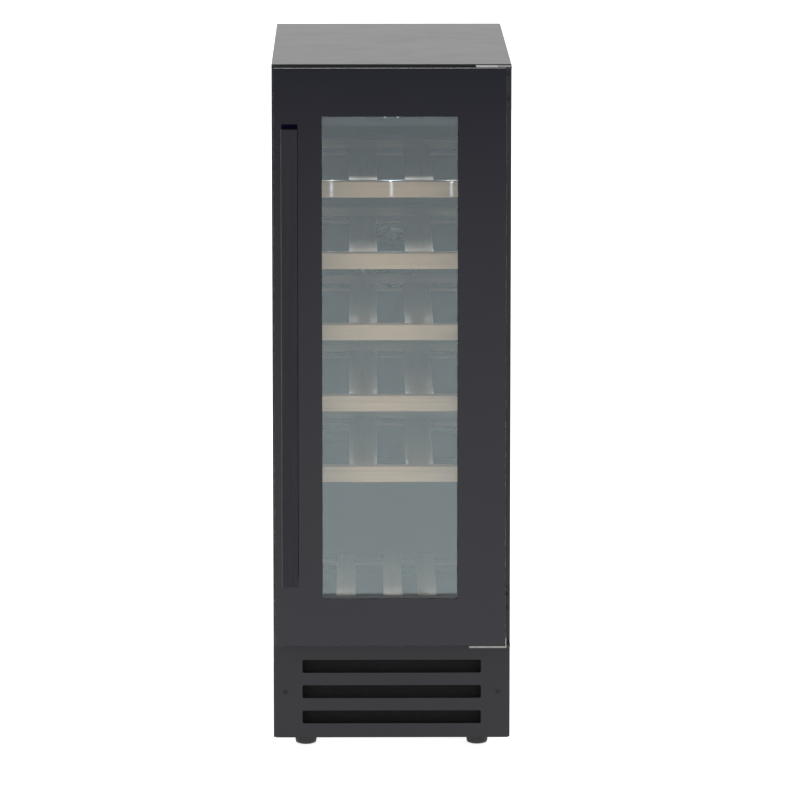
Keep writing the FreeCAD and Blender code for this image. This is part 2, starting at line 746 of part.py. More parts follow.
def make_duct():
    """Rear air-duct cover in the cavity with the circulation fan, and the cold plate behind it."""
    x, y, z = CIRCULATION_FAN
    opening = "fan_radius + fan_clear"
    through = ("duct_front - 1", "duct_front + duct_sheet + 1")
    panel = block("DuctPanel", ("-cavity_half", "cavity_half"), ("duct_front", "duct_front + duct_sheet"),
                  ("step_top", "led_z - 4"))
    tools = [rod("DuctHole", opening, "duct_sheet + 2", (x, "duct_front - 1", z), "y")]
    for side in (-0.5, 0.5):
        for row, low in enumerate((20, 32, 44)):
            middle = f"cavity_half * {side}"
            tools.append(block(f"DuctSlot{side}_{row}", (f"{middle} - 30", f"{middle} + 30"), through,
                               (f"step_top + {low}", f"step_top + {low} + 5")))
    parts = [cut("DuctPanelCut", panel, tools),
             tube("DuctCollar", f"{opening} + 2", opening, "fan_thick + 4",
                  (x, "duct_front + duct_sheet", z)),
             rod("DuctShaft", "shaft_radius", "fan_thick + duct_sheet", (x, "duct_front", z), "y"),
             rod("GuardHub", "fan_hub - 2", "duct_sheet", (x, "duct_front", z), "y")]
    for k in range(3):
        radius = f"fan_hub + {k + 1} * (fan_radius - fan_hub) / 4 + 2"
        parts.append(tube(f"GuardRing{k}", f"{radius} + 1", f"{radius} - 1", "duct_sheet",
                          (x, "duct_front", z)))
    for suffix, wide, tall in (("level", f"{opening} + 1", "1.5"), ("upright", "1.5", f"{opening} + 1")):
        parts.append(block(f"Guard_{suffix}", (f"{x} - ({wide})", f"{x} + {wide}"),
                           ("duct_front", "duct_front + duct_sheet"), (f"{z} - ({tall})", f"{z} + {tall}")))
    node("duct_cover", fuse("DuctCover", parts))
    node("circulation_fan_blade", make_rotor("CirculationRotor", CIRCULATION_FAN))
    node("evaporator_plate", block("ColdPlate", ("10 - cavity_half", "cavity_half - 10"),
                                   ("cavity_back - 3", "cavity_back"), ("step_top + 30", "led_z - 10")))


def make_compressor():
    """Hermetic compressor: turned steel shell on a base plate with four rubber mounts."""
    x = "half * 0.1"
    y = "(machine_front + back) / 2"
    low = "foot_height + sheet + mount_height"
    body = new_body("CompressorShell", (x, y, low))
    profile = sketch_on(body, "XZ_Plane", "CompressorProfile")
    seam = "compressor_height * 0.45"
    outline(profile, [("0", "2"), ("compressor_radius * 0.7", "2"), ("compressor_radius", "20"),
                      ("compressor_radius", seam), ("compressor_radius + 3", seam),
                      ("compressor_radius + 3", f"{seam} + 4"), ("compressor_radius", f"{seam} + 4"),
                      ("compressor_radius", "compressor_height - 28"),
                      ("compressor_radius * 0.62", "compressor_height"), ("0", "compressor_height")])
    revolve(body, profile, "CompressorTurned")
    corner = "compressor_radius * 0.9"
    plate = block("CompressorPlate", (f"{x} - {corner} - 12", f"{x} + {corner} + 12"),
                  (f"{y} - {corner} - 12", f"{y} + {corner} + 12"), (low, f"{low} + 3"))
    pipe = rod("CompressorPipe", "4", "28",
               (f"{x} - compressor_radius * 0.5", y, f"{low} + compressor_height - 20"))
    node("compressor", fuse("Compressor", [body, plate, pipe]))
    mounts = []
    for k, (side, end) in enumerate(((-1, -1), (1, -1), (1, 1), (-1, 1))):
        at = (f"{x} + {side} * ({corner})", f"{y} + {end} * ({corner})", "foot_height + sheet")
        mounts.append(rod(f"Mount{k}", "9", "mount_height", at))
    node("compressor_mounts", group("CompressorMounts", mounts))


def make_condenser():
    """Finned condenser behind the grille: tubes between two headers, with upright fins."""
    low = "foot_height + sheet + 8"
    rise = "(coil_runs - 1) * coil_pitch"
    first = "flange + 60"
    parts = []
    for row in range(int(sheet.coil_rows)):
        y = f"{first} + {row} * coil_pitch"
        for side in ("-1", "1"):
            parts.append(rod(f"Header{row}_{side}", "coil_tube + 2", f"{rise} + 12",
                             (f"{side} * (half - coil_inset)", y, f"{low} - 6")))
        for run in range(int(sheet.coil_runs)):
            parts.append(rod(f"Tube{row}_{run}", "coil_tube", "2 * (half - coil_inset)",
                             ("coil_inset - half", y, f"{low} + {run} * coil_pitch"), "x"))
    middle = (FIN_COUNT - 1) / 2
    for k in range(FIN_COUNT):
        x = f"{(k - middle) / middle:.4f} * (half - coil_inset - 13)"
        parts.append(block(f"Fin{k}", (f"{x} - 0.4", f"{x} + 0.4"),
                           (f"{first} - 8", f"{first} + (coil_rows - 1) * coil_pitch + 8"),
                           (f"{low} - 5", f"{low} + {rise} + 5")))
    node("condenser_coil", fuse("CondenserCoil", parts))


def make_drip_tray():
    """Evaporation tray that collects the defrost water, standing on the base."""
    low = "foot_height + sheet"
    outer = block("DripOuter", ("-half * 0.7", "half * 0.7"), ("machine_front - 95", "machine_front - 5"),
                  (low, f"{low} + 26"))
    inner = block("DripInner", ("-half * 0.7 + 2", "half * 0.7 - 2"),
                  ("machine_front - 93", "machine_front - 7"), (f"{low} + 2", f"{low} + 27"))
    node("drip_tray", cut("DripTray", outer, [inner]))


# ---------------------------------------------------------------- controls and light
def make_controls():
    """Moulded housing under the cavity's ceiling with the touch display and the light strip."""
    front = "flange + housing_setback"
    rear = f"{front} + housing_depth"
    wall = "housing_wall"
    case = block("HousingCase", ("-cavity_half", "cavity_half"), (front, rear), ("led_z", "cavity_top"))
    space = block("HousingSpace", (f"{wall} - cavity_half", f"cavity_half - {wall}"),
                  (f"{front} + {wall}", f"{rear} - {wall}"), (f"led_z + {wall}", f"cavity_top - {wall}"))
    screen = ("-display_width / 2", "display_width / 2")
    middle = "led_z + housing_height / 2 + 2"
    tall = (f"{middle} - display_height / 2", f"{middle} + display_height / 2")
    screen_hole = block("ScreenHole", screen, (f"{front} - 1", f"{front} + {wall} + 1"), tall)
    strip = ("-led_width / 2", "led_width / 2")
    strip_y = (f"{front} + 12", f"{front} + 12 + led_depth")
    strip_hole = block("StripHole", strip, strip_y, ("led_z - 1", f"led_z + {wall} + 1"))
    node("control_housing", cut("ControlHousing", case, [space, screen_hole, strip_hole]))
    node("control_display", block("Display", screen, (f"{front} - 0.6", f"{front} + {wall}"), tall))
    node("led_lens", block("LedLens", strip, strip_y, ("led_z - 1", f"led_z + {wall}")))
    chips = [block(f"LedChip{k}", (f"{k} * led_pitch - 2.5", f"{k} * led_pitch + 2.5"),
                   (f"{front} + 12 + led_depth / 2 - 2.5", f"{front} + 12 + led_depth / 2 + 2.5"),
                   (f"led_z + {wall}", f"led_z + {wall} + 1.4")) for k in (-1, 0, 1)]
    board = block("LedStrip", strip, (f"{front} + 13", f"{front} + 11 + led_depth"),
                  (f"led_z + {wall} + 1.2", f"led_z + {wall} + 2.8"))
    node("led_board", fuse("LedBoard", chips + [board]))


# ---------------------------------------------------------------- shelves
def make_fascia(label, top):
    """Solid beech front strip of a shelf, its long edges rounded."""
    body = new_body(label.title().replace("_", ""), ("0", "shelf_front", f"{top} - fascia_height"))
    section = sketch_on(body, "YZ_Plane", label + "_section")
    rectangle(section, ("0", "fascia_thick"), ("0", "fascia_height"))
    pad(body, section, "2 * shelf_half", label + "_pad", both=True)
    round_edges(body, along_axis(body.Shape, Vector(1, 0, 0)), "fascia_round")
    node(label, body)


def make_rack(name, top, middles, width, length, legs):
    """Wooden rack: front strip, long slats behind it that cradle the bottles, and cross bars.

    The slats' middles are given from the middle of the rack; the outer ones stop at its sides."""
    make_fascia(name + "_fascia", top)
    slat_top = f"{top} - slat_drop"
    slat_bottom = f"{slat_top} - slat_thick"
    rear = f"shelf_front + {length}"
    slats = []
    for k, middle in enumerate(middles):
        across = (f"max(-shelf_half; {middle} - {width} / 2)", f"min(shelf_half; {middle} + {width} / 2)")
        slats.append(block(f"{name}_slat{k}", across, ("shelf_front + fascia_thick", rear),
                           (slat_bottom, slat_top)))
    node(name + "_slats", group(name + "_slat_group", slats))
    if legs:
        bars = []
        for k, y in enumerate(("shelf_front + fascia_thick + 20", f"{rear} - crossbar_depth - 10")):
            along = (y, f"{y} + crossbar_depth")
            feet = [block(f"{name}_leg{k}_{side}", across, along, ("floor_level", f"{slat_bottom} - 5"))
                    for side, across in enumerate((("-shelf_half", f"{width} - shelf_half"),
                                                   (f"shelf_half - {width}", "shelf_half")))]
            bar = block(f"{name}_bar{k}", ("-shelf_half", "shelf_half"), along,
                        (f"{slat_bottom} - 5", slat_bottom))
            bars.append(fuse(f"{name}_trestle{k}", [bar] + feet))
    else:
        along = (f"{rear} - crossbar_depth", rear)
        bars = [block(f"{name}_stop", ("-shelf_half", "shelf_half"), along, (slat_top, f"{slat_top} + 11")),
                block(f"{name}_tie", ("rail_width + 3 - cavity_half", "cavity_half - rail_width - 3"), along,
                      (f"{slat_bottom} - 4", slat_bottom))]
    node(name + "_crossbars", group(name + "_bar_group", bars))


def make_shelves():
    middles = [f"{k - 1.5} * slat_pitch" for k in range(4)]
    for index in range(SHELF_COUNT):
        make_rack(f"shelf_{index + 1}", shelf_top(index), middles, "slat_width", "shelf_length", legs=False)
    make_rack("bottom_rack", "floor_level + bottom_rack_rise", [f"{share} * shelf_half" for share in BOTTOM_SLATS],
              "bottom_slat_width", "bottom_rack_length", legs=True)


# ---------------------------------------------------------------- door
HANDLE_X = "door_left + handle_inset + handle_width / 2"
POST_HEIGHTS = ("handle_high - post_inset", "handle_low + post_inset")


def make_door():
    """Glass-front door: outer pane with a black printed border, metal frame, sealed inner pane."""
    pane = new_body("OuterPane", ("0", "glass_back", "0"))
    face = sketch_on(pane, "XZ_Plane", "PaneOutline")
    rectangle(face, ("door_left", "door_right"), ("door_bottom", "door_top"))
    pad(pane, face, "glass_thick", "PanePad")
    round_edges(pane, along_axis(pane.Shape, Vector(0, 1, 0)), "glass_corner")
    holes = [rod(f"PaneHole{k}", "stud_radius", "glass_thick + 2", (HANDLE_X, "door_front - 1", z), "y")
             for k, z in enumerate(POST_HEIGHTS)]
    node("door_outer_glass", cut("OuterGlass", pane, holes))

    depth = "cavity_of_glazing + glass_thick"
    whole = block("DoorBlock", ("door_left + glass_overhang", "door_right - glass_overhang"),
                  ("glass_back", "door_back"), ("door_bottom", "frame_top"))
    seat_across = ("window_left - rebate", "window_right + rebate")
    seat_upward = ("window_bottom - rebate", "window_top + rebate")
    seat = block("GlazingSeat", seat_across, ("glass_back - 1", f"glass_back + {depth}"), seat_upward)
    through = block("DoorOpening", ("window_left - 2", "window_right + 2"), ("glass_back", "door_back + 1"),
                    ("window_bottom - 2", "window_top + 2"))
    bush = "pin_radius + pin_clear + bush_wall"
    sockets = [rod(f"BushHole{k}", bush, "bush_length + 1", ("hinge_x", "hinge_y", low))
               for k, low in enumerate(("frame_top - bush_length", "door_bottom - 1"))]
    studs = [rod(f"StudHole{k}", "stud_radius", "stud_length + 1", (HANDLE_X, "glass_back - 1", z), "y")
             for k, z in enumerate(POST_HEIGHTS)]
    node("door_frame", cut("DoorFrame", whole, [seat, through] + sockets + studs))

    between = ("glass_back", "glass_back + cavity_of_glazing")
    node("door_spacer", ring("Spacer", seat_across, between, seat_upward,
                             ("window_left - 2", "window_right + 2"), ("window_bottom - 2", "window_top + 2")))
    node("door_inner_glass", block("InnerGlass", seat_across, (between[1], f"glass_back + {depth}"),
                                   seat_upward))

    outer = "gasket_margin + gasket_width"
    gasket = new_body("DoorGasket", ("0", "flange - gasket_clear", "0"))
    band = sketch_on(gasket, "XZ_Plane", "GasketOutline")
    rectangle(band, (f"-cavity_half - ({outer})", f"cavity_half + {outer}"),
              (f"floor_level - ({outer})", f"cavity_top + {outer}"))
    rectangle(band, ("-cavity_half - gasket_margin", "cavity_half + gasket_margin"),
              ("floor_level - gasket_margin", "cavity_top + gasket_margin"))
    pad(gasket, band, "door_gap - gasket_clear", "GasketPad")
    sealing = gasket.Placement.Base.y
    round_edges(gasket, edges_where(gasket.Shape, lambda edge, middle: abs(middle.y - sealing) < CLOSE),
                "gasket_round")
    node("door_gasket", gasket)


def make_handle():
    """Flat bar handle on two round posts whose studs pass through the glass into the frame."""
    body = new_body("HandleBar", (HANDLE_X, "door_front - handle_reach", "handle_low"))
    section = sketch_on(body, "XY_Plane", "HandleSection")
    rectangle(section, ("-handle_width / 2", "handle_width / 2"), ("0", "handle_thick"))
    pad(body, section, "handle_high - handle_low", "HandlePad")
    round_edges(body, along_axis(body.Shape, Vector(0, 0, 1)), "handle_round")
    node("handle_bar", body)
    posts = []
    for k, z in enumerate(POST_HEIGHTS):
        post = rod(f"Post{k}", "post_radius", "handle_gap", (HANDLE_X, "door_front - handle_gap", z), "y")
        stud = rod(f"Stud{k}", "stud_radius", "glass_thick + stud_length", (HANDLE_X, "door_front", z), "y")
        posts.append(fuse(f"PostWhole{k}", [post, stud]))
    node("handle_posts", group("HandlePosts", posts))


# ---------------------------------------------------------------- hinges
def make_leaf(name, low, leg, pin_from, screws):
    """One cabinet-side hinge: a flat leaf, a leg screwed to the flange and an upright pin."""
    leaf = new_body(f"Leaf_{name}", ("0", "0", low))
    shape = sketch_on(leaf, "XY_Plane", f"LeafShape_{name}")
    rectangle(shape, ("half - leaf_length - 4", "half"), ("flange - leaf_reach", "flange"))
    pad(leaf, shape, "leaf_thick", f"LeafPad_{name}")
    reach = leaf.Shape.BoundBox.YMin + 1
    upright_edges = set(along_axis(leaf.Shape, Vector(0, 0, 1)))
    front = set(edges_where(leaf.Shape, lambda edge, middle: middle.y < reach))
    round_edges(leaf, sorted(upright_edges & front), "leaf_corner")
    upright = block(f"Leg_{name}", ("half - leg_width", "half"), ("flange - leaf_thick", "flange"), leg)
    pin = rod(f"Pin_{name}", "pin_radius", "pin_length + 1", ("hinge_x", "hinge_y", pin_from))
    holes = [rod(f"LegHole_{name}{k}", "screw_hole", "leaf_thick + 2", (x, "flange - leaf_thick - 1", z), "y")
             for k, (x, z) in enumerate(screws)]
    whole = fuse(f"BracketWhole_{name}", [leaf, upright, pin])
    node(f"{name}_hinge_bracket", cut(f"Bracket_{name}", whole, holes))


def make_hinges():
    """Corner hinges: steel leaves screwed to the flange, with pins in bushes in the door frame."""
    upper_low = "(frame_top + leaf_clear)"
    upper_high = f"({upper_low} + leaf_thick)"
    plate_low = "(door_bottom - leaf_thick)"
    lower_high = f"({plate_low} - leaf_clear)"
    lower_low = f"({lower_high} - leaf_thick)"
    make_leaf("top", upper_low, (f"{upper_high} - top_leg", upper_high), f"{upper_low} - pin_length",
              HINGE_SCREWS[:2])
    make_leaf("bottom", lower_low, (lower_low, f"{lower_low} + bottom_leg"), f"{lower_high} - 1",
              HINGE_SCREWS[2:])
    face = "flange - leaf_thick"
    screws = [front_screw(f"HingeScrew{k}", "hinge_screw_head / 2", "1.2", (x, face, z), flat=False)
              for k, (x, z) in enumerate(HINGE_SCREWS)]
    node("hinge_screws", group("HingeScrews", screws))

    front = "door_front - door_plate_proud"
    plate = block("DoorPlate", ("half - door_plate_left", "door_right + door_plate_lip_thick"),
                  (front, "door_back"), (plate_low, "door_bottom"))
    lip = block("DoorPlateLip", ("door_right", "door_right + door_plate_lip_thick"), (front, "hinge_y"),
                ("door_bottom - 1", "door_bottom + door_plate_lip"))
    hole = rod("DoorPlateHole", "pin_radius + 0.5", "leaf_thick + 2",
               ("hinge_x", "hinge_y", f"{plate_low} - 1"))
    node("door_hinge_plate", cut("DoorHingePlate", fuse("DoorPlateWhole", [plate, lip]), [hole]))

    bushes = []
    bore = "pin_radius + pin_clear"
    for name, low in (("top", "frame_top - bush_length"), ("bottom", "door_bottom")):
        sleeve = rod(f"Bush_{name}", f"{bore} + bush_wall", "bush_length", ("hinge_x", "hinge_y", low))
        inside = rod(f"BushBore_{name}", bore, "bush_length + 2", ("hinge_x", "hinge_y", f"{low} - 1"))
        bushes.append(cut(f"BushSleeve_{name}", sleeve, [inside]))
    node("hinge_bushes", group("HingeBushes", bushes))


make_top_panel()
make_sides()
make_back()
make_power_inlet()
make_base()
make_feet()
make_kick_grille()
make_front_frame()
make_liner()
make_foam()
make_condenser_fan()
make_duct()
make_compressor()
make_condenser()
make_drip_tray()
make_controls()
make_shelves()
make_door()
make_handle()
make_hinges()
doc.recompute()

# Nothing is written unless every feature is sound and every sub-part is a valid solid.
for thing in doc.Objects:
    if "Invalid" in thing.State or "Error" in thing.State:
        raise RuntimeError(f"{thing.Name} failed: {thing.State}")
for thing in NODES:
    if thing.Shape.isNull() or not thing.Shape.isValid() or not thing.Shape.Solids:
        raise RuntimeError(f"{thing.Label} has no valid solid")

os.makedirs("parts", exist_ok=True)
for thing in NODES:
    thing.Shape.exportStep(f"parts/{thing.Label}.step")
print(len(NODES), "sub-parts written")
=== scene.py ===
# The looks of a slim undercounter wine cooler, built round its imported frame: every piece sits where
# the frame's boxes say, in metres, and the file follows the appliance from its shell to its door.
import json
import math

import bpy
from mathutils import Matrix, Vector

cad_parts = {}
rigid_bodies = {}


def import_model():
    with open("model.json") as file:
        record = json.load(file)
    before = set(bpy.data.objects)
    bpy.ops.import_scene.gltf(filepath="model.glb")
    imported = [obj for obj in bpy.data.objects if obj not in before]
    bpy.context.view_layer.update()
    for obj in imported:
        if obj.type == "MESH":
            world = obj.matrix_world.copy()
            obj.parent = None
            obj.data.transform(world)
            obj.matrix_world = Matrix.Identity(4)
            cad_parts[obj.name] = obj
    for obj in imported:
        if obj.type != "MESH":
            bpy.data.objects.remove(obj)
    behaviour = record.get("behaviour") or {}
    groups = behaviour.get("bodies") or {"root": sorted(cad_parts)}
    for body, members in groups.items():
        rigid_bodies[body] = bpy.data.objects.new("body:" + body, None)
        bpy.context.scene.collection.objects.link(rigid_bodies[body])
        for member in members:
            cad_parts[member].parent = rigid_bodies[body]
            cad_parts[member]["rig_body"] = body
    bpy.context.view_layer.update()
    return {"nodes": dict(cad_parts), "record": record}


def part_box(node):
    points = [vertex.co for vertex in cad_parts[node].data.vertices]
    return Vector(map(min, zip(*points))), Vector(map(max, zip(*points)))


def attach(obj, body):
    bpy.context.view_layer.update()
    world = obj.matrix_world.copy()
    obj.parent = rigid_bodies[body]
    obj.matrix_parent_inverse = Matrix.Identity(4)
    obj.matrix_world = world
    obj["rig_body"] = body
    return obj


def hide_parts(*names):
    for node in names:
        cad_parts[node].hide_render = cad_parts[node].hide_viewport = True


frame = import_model()

# ------------------------------------------------------------------ shell sheets
# The lid, the two side panels and the flange round the opening are 1 mm steel, folded and then
# powder coated satin black: a very fine orange peel, with gloss that drifts a little.
MM = 0.001
MERGE = 0.005 * MM
SLOT_OF = {part["node"]: part["material_slot"] for part in frame["record"]["subparts"]}


class Wire:
    """A socket in a finish's node tree. Arithmetic on it adds Math nodes."""

    def __init__(self, tree, socket=None):
        self.tree = tree
        self.socket = socket

    def node(self, kind, settings, sockets, output=0):
        """Add a node: its settings are set first, then a value or a wire for each socket."""
        made = self.tree.nodes.new("ShaderNode" + kind)
        for name, value in settings.items():
            setattr(made, name, value)
        for name, value in sockets.items():
            if isinstance(value, Wire):
                self.tree.links.new(value.socket, made.inputs[name])
            else:
                made.inputs[name].default_value = value
        return Wire(self.tree, made.outputs[output] if made.outputs else None)

    def maths(self, operation, *values):
        return self.node("Math", {"operation": operation}, dict(enumerate(values)))

    def __add__(self, other):
        return self.maths("ADD", self, other)

    def __mul__(self, other):
        return self.maths("MULTIPLY", self, other)

    def __truediv__(self, other):
        return self.maths("DIVIDE", self, other)

    def __pow__(self, other):
        return self.maths("POWER", self, other)

    __radd__ = __add__
    __rmul__ = __mul__

    def place(self, stretch=(1, 1, 1), shift=(0, 0, 0)):
        """The point on the piece, in metres, stretched and shifted."""
        here = self.node("TexCoord", {}, {}, "Object")
        return self.node("Mapping", {}, {"Vector": here, "Location": shift, "Scale": stretch})

    def noise(self, where, per_metre, detail=3, rough=0.55, warp=0.0):
        return self.node("TexNoise", {}, {"Vector": where, "Scale": per_metre, "Detail": detail,
                                          "Roughness": rough, "Distortion": warp})

    def spread(self, low, high, source=(0.3, 0.7)):
        """This value, from its source range to a new range, clamped."""
        return self.node("MapRange", {}, {"Value": self, "From Min": source[0], "From Max": source[1],
                                          "To Min": low, "To Max": high})

    def tint(self, first, second):
        """A colour between two, by this value."""
        return self.node("Mix", {"data_type": "RGBA"}, {0: self, 6: rgba(first), 7: rgba(second)}, 2)

    def relief(self, depth, under=None):
        """A Bump of this height, in metres, over another one."""
        sockets = {"Height": self, "Distance": depth, "Strength": 1.0}
        if under:
            sockets["Normal"] = under
        return self.node("Bump", {}, sockets)


def rgba(colour):
    return colour if isinstance(colour, Wire) else (*colour, 1.0)


def start_finish(name):
    finish = bpy.data.materials.new(name)
    finish.use_nodes = True
    finish.node_tree.nodes.clear()
    return finish, Wire(finish.node_tree)


def end_finish(wire, shader):
    wire.node("OutputMaterial", {}, {"Surface": shader})


def principled(wire, **sockets):
    return wire.node("BsdfPrincipled", {}, {name.replace("_", " "): value for name, value in sockets.items()})


def coated(name, dark, light, gloss, peel, depth, drift=14, stretch=(1, 1, 1), **sockets):
    """A painted or moulded finish: colour and gloss drift slowly over a fine relief."""
    finish, wire = start_finish(name)
    slow = wire.noise(wire.place(), drift, detail=4)
    fine = wire.noise(wire.place(stretch), peel, detail=2)
    smudge = wire.noise(wire.place((1, 1, 0.4)), 3.1 * drift, detail=5, rough=0.65)
    bumps = fine.relief(depth)
    rough = slow.spread(*gloss) + fine.spread(-0.03, 0.03) + smudge.spread(-0.01, 0.02, (0.45, 0.75))
    shader = principled(wire, Base_Color=slow.spread(0, 1).tint(dark, light), Roughness=rough,
                        Normal=bumps, **sockets)
    end_finish(wire, shader)
    return finish


def run(along, share):
    """The stretch of a pattern drawn out along one axis."""
    return tuple(share if axis == along else 1 for axis in "XYZ")


def activate(piece):
    bpy.ops.object.select_all(action="DESELECT")
    piece.select_set(True)
    bpy.context.view_layer.objects.active = piece


def ease(piece, width, segments=2, angle=35):
    """Break the sharp edges of a piece by a small round, and shade it smooth."""
    activate(piece)
    edges = piece.modifiers.new("eased", "BEVEL")
    edges.width = width
    edges.segments = segments
    edges.limit_method = "ANGLE"
    edges.angle_limit = math.radians(angle)
    bpy.ops.object.modifier_apply(modifier="eased")
    bpy.ops.object.shade_smooth_by_angle(angle=math.radians(50))
    evened = piece.modifiers.new("evened", "WEIGHTED_NORMAL")
    evened.keep_sharp = True
    bpy.ops.object.modifier_apply(modifier="evened")
    return piece


def dress(piece, finish, body, slot, *nodes):
    """Give a piece its finish, the body it rides on and the frame's nodes it stands for."""
    piece.data.materials.clear()
    piece.data.materials.append(finish)
    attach(piece, body)
    if nodes:
        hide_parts(*nodes)
    return piece


def refine(node, name, finish, width, segments=2, angle=35):
    """A piece with a node's own shape, merged, its sharp edges eased by a width."""
    source = frame["nodes"][node]
    piece = bpy.data.objects.new(name, source.data.copy())
    bpy.context.collection.objects.link(piece)
    activate(piece)
    bpy.ops.mesh.customdata_custom_splitnormals_clear()
    bpy.ops.object.mode_set(mode="EDIT")
    bpy.ops.mesh.select_all(action="SELECT")
    bpy.ops.mesh.remove_doubles(threshold=MERGE)
    bpy.ops.mesh.dissolve_limited(angle_limit=math.radians(0.5))
    bpy.ops.object.mode_set(mode="OBJECT")
    ease(piece, width, segments, angle)
    return dress(piece, finish, source["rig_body"], SLOT_OF[node], node)


def paint(finish, *nodes):
    """Give frame nodes whose own shape is right a finish."""
    for node in nodes:
        shown = frame["nodes"][node]
        if not shown.material_slots:
            shown.data.materials.append(finish)
        for place in shown.material_slots:
            place.material = finish


powder_coat = coated("black_powder_coat", (0.006, 0.006, 0.0068), (0.0088, 0.0088, 0.0096), (0.355, 0.375),
                     peel=900, depth=0.000018, drift=9)
refine("top_panel", "lid", powder_coat, 0.25 * MM)
refine("front_frame", "opening_flange", powder_coat, 0.2 * MM)
for side in ("left", "right"):
    refine(f"{side}_side_panel", f"{side}_side_sheet", powder_coat, 0.3 * MM)

# ------------------------------------------------------------------ rear and base sheets
# The rear sheet, the louvred machine-room cover and the base tray are left in galvanised steel:
# a zinc spangle in flat crystals, each with its own grey and gloss.  Cross-head screws sit in
# shallow seats along the edges.
REAR_SCREW_HEAD = 3.4 * MM
REAR_SCREW_TALL = 1.6 * MM
REAR_SCREW_INSET = 9 * MM
REAR_SCREW_SUNK = 0.2 * MM
REAR_SCREW_ROUND = 0.6 * MM
RECESS_WIDE = 3.4 * MM
RECESS_DEEP = 0.9 * MM
SEAT_GAP = 0.3 * MM
SEAT_DEEP = 0.5 * MM
SEAT_OVER = 0.3 * MM


def galvanised():
    finish, wire = start_finish("galvanised_sheet")
    crystal = wire.node("TexVoronoi", {"feature": "F1"}, {"Vector": wire.place(), "Scale": 95.0}, "Color")
    grey = wire.node("SeparateColor", {}, {"Color": crystal})
    cloud = wire.noise(wire.place(), 22, detail=5)
    roll = wire.noise(wire.place((1, 1, 0.02)), 900, detail=2)
    colour = (0.7 * grey + 0.3 * cloud).spread(0, 1, (0.1, 0.9)).tint((0.30, 0.31, 0.32), (0.50, 0.51, 0.52))
    shader = principled(wire, Base_Color=colour, Metallic=0.85,
                        Roughness=grey.spread(0.32, 0.5, (0, 1)) + cloud.spread(-0.05, 0.07),
                        Normal=roll.relief(0.00001))
    end_finish(wire, shader)
    return finish


def slab(name, low, high):
    """A block between two corners, its place in its mesh."""
    centre = (Vector(low) + Vector(high)) / 2
    bpy.ops.mesh.primitive_cube_add(size=1, location=centre)
    block = bpy.context.active_object
    block.name = name
    block.scale = Vector(high) - Vector(low)
    bpy.ops.object.transform_apply(location=True, rotation=True, scale=True)
    return block


def select_faces(piece, test):
    """Go into edit mode with only the faces selected whose middle and normal pass a test."""
    activate(piece)
    bpy.ops.object.mode_set(mode="EDIT")
    bpy.ops.mesh.select_mode(type="FACE")
    bpy.ops.mesh.select_all(action="DESELECT")
    bpy.ops.object.mode_set(mode="OBJECT")
    for face in piece.data.polygons:
        face.select = test(face.center, face.normal)
    bpy.ops.object.mode_set(mode="EDIT")


def select_edges(piece, test):
    """Go into edit mode with only the edges selected whose two ends pass a test."""
    activate(piece)
    bpy.ops.object.mode_set(mode="EDIT")
    bpy.ops.mesh.select_mode(type="EDGE")
    bpy.ops.mesh.select_all(action="DESELECT")
    bpy.ops.object.mode_set(mode="OBJECT")
    points = piece.data.vertices
    for edge in piece.data.edges:
        edge.select = test(points[edge.vertices[0]].co, points[edge.vertices[1]].co)
    bpy.ops.object.mode_set(mode="EDIT")


def drum(name, radius, length, foot, sides):
    """A closed cylinder that stands on a point and runs along +Y."""
    bpy.ops.mesh.primitive_cylinder_add(vertices=sides, radius=radius, depth=length,
                                        location=Vector(foot) + Vector((0, length / 2, 0)),
                                        rotation=(-math.pi / 2, 0, 0))
    made = bpy.context.active_object
    made.name = name
    bpy.ops.object.transform_apply(location=True, rotation=True, scale=True)
    return made


def join(name, pieces):
    bpy.ops.object.select_all(action="DESELECT")
    for piece in pieces:
        piece.select_set(True)
    bpy.context.view_layer.objects.active = pieces[0]
    if len(pieces) > 1:
        bpy.ops.object.join()
    pieces[0].name = name
    return pieces[0]


def carve(piece, tool):
    """Take one closed shape out of another."""
    activate(piece)
    knife = piece.modifiers.new("carved", "BOOLEAN")
    knife.operation = "DIFFERENCE"
    knife.solver = "EXACT"
    knife.object = tool
    bpy.ops.object.modifier_apply(modifier="carved")
    bpy.data.objects.remove(tool)


def rear_screw(name, at):
    """The head of a cross-head screw sunk in the rear sheet, its top at a point and facing +Y."""
    head = drum(name, REAR_SCREW_HEAD, REAR_SCREW_TALL, at - Vector((0, REAR_SCREW_TALL, 0)), 24)
    select_faces(head, lambda middle, normal: normal.y > 0.9)
    bpy.ops.mesh.bevel(offset=REAR_SCREW_ROUND, segments=3)
    bpy.ops.object.mode_set(mode="OBJECT")
    for wide, tall in ((RECESS_WIDE, RECESS_WIDE / 4), (RECESS_WIDE / 4, RECESS_WIDE)):
        half = Vector((wide / 2, RECESS_DEEP, tall / 2))
        carve(head, slab(name + "_recess", at - half, at + half))
    return head


zinc_sheet = galvanised()
paint(zinc_sheet, "base_tray")
rear_sheet = refine("back_panel", "rear_sheet", zinc_sheet, 0.2 * MM)
louvred_cover = refine("machine_room_cover", "louvred_cover", zinc_sheet, 0.2 * MM, segments=1)
low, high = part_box("back_panel")
cover_low, cover_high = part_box("machine_room_cover")
rows = [cover_low.z + REAR_SCREW_INSET, cover_high.z - REAR_SCREW_INSET,
        (low.z + high.z) / 2, high.z - REAR_SCREW_INSET]
places = [Vector((side * (high.x - REAR_SCREW_INSET), high.y, z)) for z in rows for side in (-1, 1)]
places += [Vector((0, high.y, z)) for z in (rows[1], rows[0])]
for k, at in enumerate(places):
    seat = drum(f"screw_seat_{k}", REAR_SCREW_HEAD + SEAT_GAP, SEAT_DEEP + SEAT_OVER,
                at - Vector((0, SEAT_DEEP, 0)), 32)
    carve(louvred_cover if at.z < cover_high.z else rear_sheet, seat)
